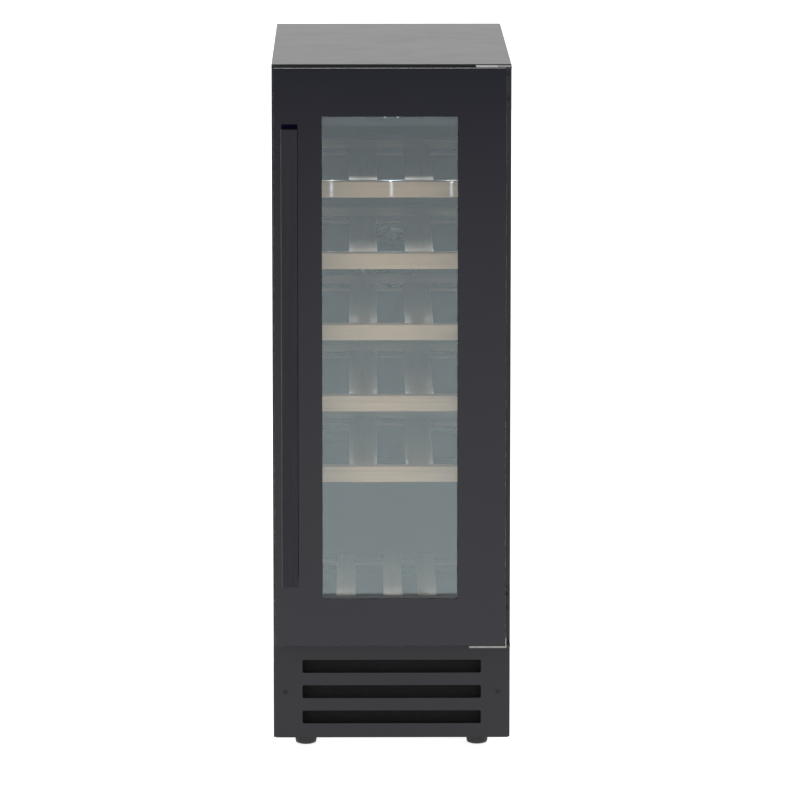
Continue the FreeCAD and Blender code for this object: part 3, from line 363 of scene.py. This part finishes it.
oxide = coated("black_oxide", (0.012, 0.012, 0.013), (0.03, 0.03, 0.032), (0.35, 0.5), peel=2500,
               depth=0.000008, drift=120, Metallic=0.7)
heads = [rear_screw(f"rear_screw_{k}", at - Vector((0, REAR_SCREW_SUNK, 0))) for k, at in enumerate(places)]
dress(join("rear_screws", heads), oxide, "cabinet", "screws")

# ------------------------------------------------------------------ mains inlet
# A moulded appliance inlet snapped in behind the cover.  Its housing and its blades are one
# piece of the frame, so the same black covers both.
moulded_black = coated("moulded_black", (0.012, 0.012, 0.013), (0.02, 0.02, 0.021), (0.42, 0.55), peel=1700,
                       depth=0.00003, drift=40)
paint(moulded_black, "power_inlet")

# ------------------------------------------------------------------ feet
# Four levelling feet of hard black rubber, knurled to be turned by hand, on zinc plated sockets.
foot_rubber = coated("foot_rubber", (0.010, 0.010, 0.011), (0.022, 0.022, 0.023), (0.45, 0.62), peel=1500,
                     depth=0.00004, drift=90)
for corner in ("front_left", "front_right", "rear_left", "rear_right"):
    refine(f"foot_{corner}", f"knurled_foot_{corner}", foot_rubber, 0.2 * MM, angle=50)


def zinc_plate(name, dark, light, gloss, blush):
    """Bright zinc plating: brushed along the piece, clouded in the passivation, faintly yellow."""
    finish, wire = start_finish(name)
    cloud = wire.noise(wire.place(), 130, detail=5, rough=0.6)
    brushed = wire.noise(wire.place((0.03, 1, 1)), 3800, detail=2)
    colour = cloud.spread(0, 1).tint(dark, light)
    tinted = cloud.spread(0, 0.35, (0.45, 0.75)).tint(colour, blush)
    shader = principled(wire, Base_Color=tinted, Metallic=1.0, Roughness=cloud.spread(*gloss),
                        Normal=brushed.relief(0.000006))
    end_finish(wire, shader)
    return finish


zinc = zinc_plate("bright_zinc", (0.19, 0.19, 0.187), (0.30, 0.30, 0.293), (0.28, 0.42), (0.30, 0.29, 0.25))
paint(zinc, "foot_sockets")

# ------------------------------------------------------------------ kick grille
# An injection-moulded plinth with three air slots and a fine spark-eroded texture, held by two
# countersunk black screws.
grille_plastic = coated("grille_plastic", (0.0095, 0.0092, 0.0135), (0.0135, 0.013, 0.018), (0.4, 0.5),
                        peel=2200, depth=0.00002, drift=18, Specular_IOR_Level=0.36)
refine("kick_grille", "slotted_plinth", grille_plastic, 0.3 * MM)
paint(oxide, "grille_screws")

# Behind the slots a woven screen, clipped to the plinth's back: painted shade, a near-black sheet that stands
# in for the shade deep inside the slots.
SCREEN_GAP = 13 * MM
SCREEN_THICK = 0.8 * MM
SCREEN_MARGIN = 32 * MM
SCREEN_FOOT = 3 * MM
SCREEN_HEAD = 6 * MM
SCREEN_WEAVE = 1.3 * MM


def slot_shade_screen():
    finish, wire = start_finish("slot_shade_screen")
    waves = [here.maths("SINE", here * (2 * math.pi / SCREEN_WEAVE))
             for here in (wire.node("SeparateXYZ", {}, {"Vector": wire.place()}, axis) for axis in (0, 2))]
    threads = (waves[0] * waves[1]).spread(0, 1, (-0.6, 0.6))
    dust = wire.noise(wire.place(), 70, detail=5, rough=0.6)
    # Painted shade: the weave is coloured near black so the slots read as dark as their shaded inside; the
    # dust over it is its own colour.
    base = threads.tint((0.004, 0.004, 0.0045), (0.008, 0.008, 0.0085))
    shader = principled(wire, Base_Color=dust.spread(0, 0.35, (0.5, 0.75)).tint(base, (0.013, 0.0125, 0.012)),
                        Roughness=dust.spread(0.6, 0.75), Specular_IOR_Level=0.2,
                        Normal=threads.relief(0.0001))
    end_finish(wire, shader)
    return finish


low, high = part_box("kick_grille")
screen = slab("dark_sheet_behind_slots", (low.x + SCREEN_MARGIN, high.y + SCREEN_GAP, low.z + SCREEN_FOOT),
              (high.x - SCREEN_MARGIN, high.y + SCREEN_GAP + SCREEN_THICK, high.z - SCREEN_HEAD))
dress(ease(screen, 0.25 * MM), slot_shade_screen(), "cabinet", "grille_plastic")

# ------------------------------------------------------------------ cavity
# The liner is vacuum formed from one dark grey sheet, so its corners are soft and its skin a
# little dimpled; foam fills the wall behind it.
liner_plastic = coated("liner_plastic", (0.030, 0.033, 0.036), (0.044, 0.048, 0.052), (0.38, 0.5), peel=420,
                       depth=0.00006, drift=11)
refine("inner_liner", "formed_liner", liner_plastic, 0.9 * MM, segments=3)


def foamed(name):
    """Rigid foam: pale yellow, with a skin of burst and closed cells."""
    finish, wire = start_finish(name)
    cells = wire.node("TexVoronoi", {"feature": "SMOOTH_F1"}, {"Vector": wire.place(), "Scale": 700.0},
                      "Distance")
    rise = wire.noise(wire.place(), 30, detail=6, rough=0.6)
    shader = principled(wire, Base_Color=rise.spread(0, 1).tint((0.62, 0.50, 0.27), (0.80, 0.70, 0.45)),
                        Roughness=cells.spread(0.78, 0.95, (0.1, 0.6)),
                        Normal=rise.relief(0.0006, cells.relief(0.0002)))
    end_finish(wire, shader)
    return finish


paint(foamed("rigid_foam"), "insulation_foam")

# ------------------------------------------------------------------ air duct and cooling parts
# A moulded duct cover with its fan at the back of the cavity; behind it a roll-bonded aluminium
# plate.  Below, the machine room holds the compressor, the finned coil, its fan and the tray.
paint(liner_plastic, "duct_cover")
paint(moulded_black, "circulation_fan_blade", "condenser_fan_blade", "condenser_fan_frame")


def rolled_aluminium(name, dark, light, gloss, stretch):
    finish, wire = start_finish(name)
    cloud = wire.noise(wire.place(), 60, detail=5)
    roll = wire.noise(wire.place(stretch), 2600, detail=3)
    dull = wire.noise(wire.place(), 400, detail=2)
    colour = (0.6 * cloud + 0.4 * roll).spread(0, 1).tint(dark, light)
    shader = principled(wire, Base_Color=colour, Metallic=0.95,
                        Roughness=cloud.spread(*gloss) + dull.spread(-0.04, 0.04),
                        Normal=roll.relief(0.000008))
    end_finish(wire, shader)
    return finish


paint(rolled_aluminium("cold_aluminium", (0.5, 0.51, 0.52), (0.72, 0.73, 0.74), (0.3, 0.45), (0.03, 1, 1)),
      "evaporator_plate")
# Painted shade: the coil's fins are coloured near black, far darker than bare aluminium, so the slots in
# front of them read dark.
paint(rolled_aluminium("shade_darkened_fins", (0.022, 0.022, 0.022), (0.045, 0.045, 0.045), (0.5, 0.7), (1, 1, 0.05)),
      "condenser_coil")
enamel = coated("compressor_enamel", (0.008, 0.008, 0.008), (0.014, 0.014, 0.014), (0.2, 0.32), peel=600,
                depth=0.00003, drift=25)
paint(enamel, "compressor")
mount_rubber = coated("mount_rubber", (0.015, 0.015, 0.015), (0.03, 0.03, 0.03), (0.6, 0.75), peel=1200,
                      depth=0.00003, drift=80)
paint(mount_rubber, "compressor_mounts")
tray_plastic = coated("tray_plastic", (0.018, 0.018, 0.018), (0.03, 0.03, 0.03), (0.45, 0.6), peel=900,
                      depth=0.00003, drift=30)
paint(tray_plastic, "drip_tray")

# ------------------------------------------------------------------ controls and light
# A moulded housing under the cavity's ceiling holds a gloss black touch display with printed
# white symbols, and an opal strip with three light chips behind it.
SYMBOL_THICK = 0.12 * MM
SYMBOL_STROKE = 0.5 * MM
SYMBOL_PITCH = 2.6 * MM
DIGIT_TALL = 6.0 * MM
DIGIT_WIDE = 3.4 * MM
DIGIT_GAP = 3 * MM
DIGIT_DROP = 7.5 * MM
MARK_ROW = 2.1 * MM
MARK_WIDE = 2.4 * MM
MARK_PROUD = 0.05 * MM
LED_COLOUR = (0.45, 0.66, 1.0)
LED_PITCH = 74 * MM

refine("control_housing", "control_box", liner_plastic, 0.5 * MM)
display_gloss = coated("display_gloss", (0.004, 0.004, 0.005), (0.006, 0.006, 0.007), (0.08, 0.14), peel=300,
                       depth=0.000004, drift=30)
paint(display_gloss, "control_display")


def stroke(name, x, z, wide, tall, face):
    """One straight stroke of a symbol, centred on x and z, with its back on a face."""
    return slab(name, (x - wide / 2, face - SYMBOL_THICK, z - tall / 2), (x + wide / 2, face, z + tall / 2))


def hoop(name, x, z, radius, face):
    bpy.ops.mesh.primitive_torus_add(major_radius=radius, minor_radius=SYMBOL_STROKE / 2, major_segments=32,
                                     minor_segments=8, location=(x, face, z), rotation=(math.pi / 2, 0, 0))
    made = bpy.context.active_object
    made.name = name
    bpy.ops.object.transform_apply(location=True, rotation=True, scale=True)
    bpy.ops.object.mode_set(mode="EDIT")
    bpy.ops.mesh.select_all(action="SELECT")
    bpy.ops.transform.resize(value=(1, 2 * SYMBOL_THICK / SYMBOL_STROKE, 1), center_override=(x, face, z))
    bpy.ops.object.mode_set(mode="OBJECT")
    return made


# Seven-segment bars of a digit: middle x and z in halves of its width and height, and if it lies flat.
SEGMENTS = {"a": (0, 1, True), "b": (1, 0.5, False), "c": (1, -0.5, False), "d": (0, -1, True),
            "e": (-1, -0.5, False), "f": (-1, 0.5, False), "g": (0, 0, True)}
DIGITS = {"1": "bc", "2": "abged"}
screen_low, screen_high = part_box("control_display")
face = screen_low.y - MARK_PROUD
digit_z = screen_high.z - DIGIT_DROP
marks = []
for place, digit in enumerate("12"):
    middle = (place - 0.5) * (DIGIT_WIDE + DIGIT_GAP)
    for segment in DIGITS[digit]:
        aside, rise, flat = SEGMENTS[segment]
        size = (DIGIT_WIDE - SYMBOL_STROKE, SYMBOL_STROKE) if flat else (SYMBOL_STROKE, DIGIT_TALL / 2)
        marks.append(stroke(f"digit_{place}{segment}", middle + aside * DIGIT_WIDE / 2,
                            digit_z + rise * DIGIT_TALL / 2, *size, face))
row = screen_low.z + MARK_ROW
marks.append(hoop("power_mark", -3 * SYMBOL_PITCH, row, 1.3 * MM, face))
marks.append(stroke("power_bar", -3 * SYMBOL_PITCH, row + 1.0 * MM, SYMBOL_STROKE, 1.5 * MM, face))
marks.append(stroke("less_mark", -1.2 * SYMBOL_PITCH, row, MARK_WIDE, SYMBOL_STROKE, face))
marks.append(stroke("more_flat", 0.6 * SYMBOL_PITCH, row, MARK_WIDE, SYMBOL_STROKE, face))
marks.append(stroke("more_upright", 0.6 * SYMBOL_PITCH, row, SYMBOL_STROKE, MARK_WIDE, face))
marks.append(hoop("lamp_mark", 3 * SYMBOL_PITCH, row, 1.1 * MM, face))
for k in (-1, 1):
    marks.append(stroke(f"lamp_ray_{k}", (3 + 0.33 * k) * SYMBOL_PITCH, row, 0.9 * MM, SYMBOL_STROKE, face))


def glowing(name, colour, strength, base):
    """A lit mark or lens: an even glow with a slight drift in its own colour and gloss."""
    finish, wire = start_finish(name)
    drift = wire.noise(wire.place(), 300, detail=3)
    shader = principled(wire, Base_Color=drift.spread(0, 1).tint(base, tuple(0.9 * part for part in base)),
                        Roughness=drift.spread(0.3, 0.42), Emission_Color=rgba(colour),
                        Emission_Strength=strength, Normal=drift.relief(0.00001))
    end_finish(wire, shader)
    return finish


symbols = join("display_symbols", marks)
dress(symbols, glowing("symbol_white", (0.9, 0.95, 1.0), 0.55, (0.8, 0.8, 0.8)), "cabinet", "display")


def opal_strip():
    """The diffuser glows brightest in front of each light chip."""
    finish, wire = start_finish("opal_strip")
    here = wire.node("SeparateXYZ", {}, {"Vector": wire.place()})
    near = here.maths("ABSOLUTE", here.maths("WRAP", here, LED_PITCH / 2, -LED_PITCH / 2))
    glow = (near / (9 * MM)).spread(1, 0.06, (0, 1)) ** 2
    drift = wire.noise(wire.place(), 500, detail=2)
    shader = principled(wire, Base_Color=drift.spread(0, 1).tint((0.70, 0.73, 0.76), (0.82, 0.85, 0.88)),
                        Roughness=drift.spread(0.3, 0.4),
                        Emission_Color=glow.tint((0, 0, 0), LED_COLOUR), Emission_Strength=3.0)
    end_finish(wire, shader)
    return finish


paint(opal_strip(), "led_lens")
board_white = coated("board_white", (0.6, 0.6, 0.57), (0.75, 0.75, 0.72), (0.4, 0.5), peel=900, depth=0.00001,
                     drift=150)
paint(board_white, "led_board")

# ------------------------------------------------------------------ shelves
# Each rack is oiled beech: a solid front strip with rounded edges, slats that the bottles lie
# along, four in a shelf and five at the bottom, and cross bars.  The grain runs along each board.
FASCIA_ROUND = 0.4 * MM


def beech(name, along):
    """Oiled beech whose grain runs along X or along Y."""
    finish, wire = start_finish(name)
    figure = wire.noise(wire.place(run(along, 0.05)), 55, detail=6, rough=0.6, warp=0.7)
    rings = wire.noise(wire.place(run(along, 0.02), (0.3, 0.1, 0.7)), 260, detail=4, rough=0.55, warp=0.4)
    fleck = wire.noise(wire.place(run(along, 0.12), (0.5, 0.2, 0.9)), 950, detail=2)
    pores = wire.noise(wire.place(run(along, 0.02)), 3200, detail=2)
    board = wire.noise(wire.place((0.6, 0.2, 1)), 9, detail=1)
    base = figure.spread(0, 1, (0.32, 0.68)).tint((0.44, 0.255, 0.15), (0.62, 0.40, 0.255))
    ringed = rings.spread(0, 0.75, (0.5, 0.68)).tint(base, (0.40, 0.22, 0.125))
    flecked = fleck.spread(0, 0.55, (0.6, 0.72)).tint(ringed, (0.30, 0.155, 0.08))
    toned = board.spread(0, 0.4, (0.35, 0.65)).tint(flecked, (0.64, 0.415, 0.27))
    shader = principled(wire, Base_Color=toned, Anisotropic=1.0,
                        Anisotropic_Rotation=0.25 if along == "X" else 0.0,
                        Roughness=figure.spread(0.38, 0.46) + fleck.spread(0, 0.1, (0.6, 0.75)),
                        Normal=fleck.relief(-0.00002, pores.relief(0.000012)))
    end_finish(wire, shader)
    return finish


beech_across = beech("oiled_beech_across", "X")
beech_along = beech("oiled_beech_along", "Y")
racks = [f"shelf_{k}" for k in range(1, 6)] + ["bottom_rack"]
for rack in racks:
    refine(f"{rack}_fascia", f"{rack}_front_strip", beech_across, FASCIA_ROUND, angle=50)
    refine(f"{rack}_slats", f"{rack}_long_slats", beech_along, 1.2 * MM, segments=3)
    refine(f"{rack}_crossbars", f"{rack}_cross_bars", beech_across, 1.0 * MM, segments=3)

# ------------------------------------------------------------------ door
# A full-height sheet of toughened glass with a black enamel border baked on its back, bonded to
# a moulded black frame.  A spacer and an inner pane make it a sealed unit.
ENAMEL = 0.3 * MM
BITE = 0.02 * MM
PANE_EDGE = 0.35 * MM
PANE_CORNER = 2.0 * MM
REBATE = 12 * MM


def score(piece, point, normal):
    """Cut a piece's faces along a plane and leave both sides."""
    activate(piece)
    bpy.ops.object.mode_set(mode="EDIT")
    bpy.ops.mesh.select_all(action="SELECT")
    bpy.ops.mesh.bisect(plane_co=point, plane_no=normal)
    bpy.ops.object.mode_set(mode="OBJECT")


def shade_as_flat(piece):
    activate(piece)
    bpy.ops.mesh.customdata_custom_splitnormals_clear()
    bpy.ops.object.shade_flat()


def ring(name, low, high, border):
    """A flat closed ring that faces along Y: a slab with its middle cut out."""
    made = slab(name, low, high)
    select_faces(made, lambda middle, normal: abs(normal.y) > 0.9)
    bpy.ops.mesh.inset(thickness=border, use_individual=True)
    bpy.ops.mesh.bridge_edge_loops()
    bpy.ops.object.mode_set(mode="OBJECT")
    return made


def clear_glass(name, tone, edge_tone, share_ahead):
    """Clear glass: light goes straight through, and a share that grows at a glancing view is
    mirrored.  Faint wiping smears vary the mirrored share."""
    finish, wire = start_finish(name)
    smear = wire.noise(wire.place((1, 1, 0.25)), 16, detail=5, rough=0.6)
    facing = wire.node("LayerWeight", {}, {"Blend": 0.5}, "Facing")
    mirrored = share_ahead + (1 - share_ahead) * facing ** 5
    share = mirrored * smear.spread(0.97, 1.03)
    through = wire.node("BsdfTransparent", {}, {"Color": rgba(tone)})
    mirror = wire.node("BsdfAnisotropic", {}, {"Color": rgba(edge_tone), "Roughness": 0.0})
    shader = wire.node("MixShader", {}, {0: share, 1: through, 2: mirror})
    end_finish(wire, shader)
    return finish


enamelled_glass = coated("enamelled_glass", (0.0016, 0.0016, 0.0070), (0.0022, 0.0022, 0.0080), (0.035, 0.05),
                         peel=40, depth=0.0000002, drift=12, Specular_IOR_Level=0.44)
enamel_black = coated("baked_enamel", (0.0016, 0.0016, 0.0040), (0.0024, 0.0024, 0.0052), (0.5, 0.6),
                      peel=700, depth=0.000002, drift=12, Specular_IOR_Level=0.0)
clear_front = clear_glass("clear_front_glass", (0.975, 0.985, 0.985), (0.92, 0.96, 1.0), 0.030)
clear_inner = clear_glass("clear_inner_glass", (0.955, 0.98, 0.98), (0.84, 0.98, 1.0), 0.076)
low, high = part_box("door_outer_glass")
inner_low, inner_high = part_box("door_inner_glass")
border = inner_low.x + REBATE - low.x
pane = slab("front_pane", low, (high.x, high.y - ENAMEL, high.z))
select_edges(pane, lambda first, second: abs(first.y - second.y) > MM)
bpy.ops.mesh.bevel(offset=PANE_CORNER, segments=6)
bpy.ops.object.mode_set(mode="OBJECT")
ease(pane, PANE_EDGE)
window_low = Vector((low.x + border, 0, low.z + border))
window_high = Vector((high.x - border, 0, high.z - border))
for corner in (window_low, window_high):
    for across in ((1, 0, 0), (0, 0, 1)):
        score(pane, corner, across)
shade_as_flat(pane)
dress(pane, clear_front, "door", "front_glass", "door_outer_glass")
pane.data.materials.append(enamelled_glass)
for face in pane.data.polygons:
    inside = (window_low.x < face.center.x < window_high.x
              and window_low.z < face.center.z < window_high.z)
    face.material_index = int(face.normal.y < -0.999 and not inside)

enamel_ring = ring("enamel_border", (low.x + PANE_EDGE, high.y - ENAMEL - BITE, low.z + PANE_EDGE),
                   (high.x - PANE_EDGE, high.y, high.z - PANE_EDGE), border - PANE_EDGE)
dress(enamel_ring, enamel_black, "door", "front_glass")

frame_plastic = coated("door_frame_plastic", (0.010, 0.010, 0.011), (0.016, 0.016, 0.017), (0.36, 0.48),
                       peel=1500, depth=0.00002, drift=15)
refine("door_frame", "moulded_door_frame", frame_plastic, 0.6 * MM)
spacer_black = coated("spacer_black", (0.012, 0.012, 0.012), (0.02, 0.02, 0.02), (0.3, 0.42), peel=1100,
                      depth=0.000015, drift=60, Metallic=0.6)
paint(spacer_black, "door_spacer")
shade_as_flat(refine("door_inner_glass", "inner_pane", clear_inner, PANE_EDGE))

# The gasket is a soft extrusion: a foot in the frame's groove, a thinner bellows and a magnet lip.
GASKET_WIDE = 11 * MM
GASKET_WAIST = 2.2 * MM
GASKET_BITE = 0.1 * MM
gasket_rubber = coated("gasket_rubber", (0.012, 0.012, 0.013), (0.022, 0.022, 0.023), (0.55, 0.68), peel=1400,
                       depth=0.00002, drift=35)
low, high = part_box("door_gasket")
third = (high.y - low.y) / 3
layers = []
for k, (waist, bite) in enumerate(((0, 0), (GASKET_WAIST, GASKET_BITE), (0, 0))):
    start = (low.x + waist, low.y + k * third - bite, low.z + waist)
    stop = (high.x - waist, low.y + (k + 1) * third + bite, high.z - waist)
    layers.append(ring(f"gasket_layer_{k}", start, stop, GASKET_WIDE - 2 * waist))
gasket = ease(join("bellows_gasket", layers), 0.5 * MM)
dress(gasket, gasket_rubber, "door", "gasket", "door_gasket")

# ------------------------------------------------------------------ handle
# A flat black anodised aluminium bar, brushed along its length, with its edges broken; two posts
# with shoulders carry it off the glass.
HANDLE_ROUND = 0.8 * MM


def brushed(name, dark, light, gloss, along):
    """Anodised aluminium brushed along one axis."""
    finish, wire = start_finish(name)
    lines = wire.noise(wire.place(run(along, 0.008)), 5200, detail=3, rough=0.65)
    broad = wire.noise(wire.place(run(along, 0.008)), 900, detail=2)
    cloud = wire.noise(wire.place(), 22, detail=4)
    mixed = (0.6 * lines + 0.4 * broad).spread(0, 1)
    shader = principled(wire, Base_Color=mixed.tint(dark, light), Metallic=0.75,
                        Roughness=cloud.spread(*gloss) + lines.spread(-0.04, 0.05),
                        Normal=lines.relief(0.000006))
    end_finish(wire, shader)
    return finish


handle_black = brushed("black_anodised", (0.014, 0.013, 0.0165), (0.027, 0.0255, 0.031), (0.36, 0.46), "Z")
refine("handle_bar", "pull_bar", handle_black, HANDLE_ROUND, segments=3)
refine("handle_posts", "pull_posts", handle_black, 0.4 * MM, angle=50)

# ------------------------------------------------------------------ hinges
# Pressed steel: a zinc plated plate under the door, and a black coated bracket at each end of the
# cabinet whose arm is bare zinc where it slides under the lid; black countersunk screws.
BARE_ARM = 130 * MM
ARM_THICK = 4 * MM
refine("door_hinge_plate", "hinge_leaf", zinc, 0.25 * MM)
for end in ("top", "bottom"):
    bracket = refine(f"{end}_hinge_bracket", f"{end}_bracket", powder_coat, 0.25 * MM)
    bracket.data.materials.append(zinc)
    low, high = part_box(f"{end}_hinge_bracket")
    score(bracket, (BARE_ARM, 0, 0), (1, 0, 0))
    arm = high.z - ARM_THICK if end == "top" else low.z + ARM_THICK
    for face in bracket.data.polygons:
        beyond = face.center.z > arm if end == "top" else face.center.z < arm
        face.material_index = int(beyond and face.center.x < BARE_ARM)
paint(oxide, "hinge_screws")
acetal = coated("black_acetal", (0.012, 0.012, 0.012), (0.02, 0.02, 0.02), (0.3, 0.4), peel=1000,
                depth=0.000012, drift=90)
paint(acetal, "hinge_bushes")

# ------------------------------------------------------------------ studio
# A pale floor that glows a little, with painted shade that dims its colour and glow ahead of the door,
# an even white surround, and the three cool light chips over the top shelf.
FLOOR_WIDE = 60.0
FLOOR_GLOW = 0.82
POOL = (-9.0, -0.8)
SURROUND = 1.12
# Each chip's light, in parts: a wide one on the top shelf, two that fall through the gaps between
# the slats to the lower shelves, and a thin one down the faces of the front strips.  Power in
# watts, spread in degrees, size along X and Y, distance behind the lens's front edge, tilt back.
CHIPS = {"wide": (0.022, 46, (56 * MM, 6 * MM), 18 * MM, 17),
         "deep": (0.014, 34, (4 * MM, 6 * MM), 17 * MM, 4),
         "plumb": (0.009, 12, (4 * MM, 6 * MM), 17 * MM, 1),
         "thin": (0.0005, 4, (2 * MM, 3 * MM), -10.5 * MM, 4.5)}
CHIP_DROP = 1.5 * MM


def pale_floor():
    finish, wire = start_finish("pale_floor")
    grain = wire.noise(wire.place(), 45, detail=5)
    patch = wire.noise(wire.place(), 0.8, detail=2)
    # Painted shade: the floor's colour and glow fall off with distance ahead of the door, fully dim nine
    # metres out.
    painted_dimming = wire.node("SeparateXYZ", {}, {"Vector": wire.place()}, 1).spread(1, 0, POOL)
    pale = patch.spread(0, 1).tint((0.50, 0.50, 0.50), (0.53, 0.53, 0.53))
    shader = principled(wire, Base_Color=painted_dimming.tint(pale, (0.17, 0.17, 0.18)),
                        Roughness=grain.spread(0.75, 0.9), Normal=grain.relief(0.0001),
                        Emission_Color=painted_dimming.tint((1, 1, 1), (0.26, 0.26, 0.28)),
                        Emission_Strength=FLOOR_GLOW)
    end_finish(wire, shader)
    return finish


bpy.ops.mesh.primitive_plane_add(size=FLOOR_WIDE, location=(0, 0, 0))
floor = bpy.context.active_object
floor.name = "studio_floor"
floor.data.materials.append(pale_floor())

lens_low, lens_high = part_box("led_lens")
for k in (-1, 0, 1):
    for part, (power, spread, size, back, tilt) in CHIPS.items():
        glow = bpy.data.lights.new(f"light_chip_{part}_{k + 1}", "AREA")
        glow.shape = "RECTANGLE"
        glow.size, glow.size_y = size
        glow.energy = power
        glow.spread = math.radians(spread)
        glow.color = LED_COLOUR
        lamp = bpy.data.objects.new(glow.name, glow)
        lamp.location = (k * LED_PITCH, lens_low.y + back, lens_low.z - CHIP_DROP)
        lamp.rotation_euler = (math.radians(tilt), 0, 0)
        bpy.context.collection.objects.link(lamp)

world = bpy.data.worlds.new("white_surround")
world.use_nodes = True
background = world.node_tree.nodes["Background"]
background.inputs["Color"].default_value = (1, 1, 1, 1)
background.inputs["Strength"].default_value = SURROUND
bpy.context.scene.world = world
bpy.context.scene.view_settings.view_transform = "Standard"

# ------------------------------------------------------------------ camera
# A long lens seven metres in front and a metre and a half up, without any shift.  It looks down
# and a little to the right.  The turns are in degrees.
LENS = 249.14
SENSOR = 36.0
STANDPOINT = (-0.0501, -7.0, 1.5485)
LOOK_DOWN = 9.277
LOOK_RIGHT = 0.512

eye = bpy.data.cameras.new("camera")
eye.lens = LENS
eye.sensor_width = SENSOR
camera = bpy.data.objects.new("camera", eye)
camera.location = STANDPOINT
camera.rotation_euler = (math.radians(90 - LOOK_DOWN), 0, math.radians(-LOOK_RIGHT))
bpy.context.collection.objects.link(camera)
bpy.context.scene.camera = camera
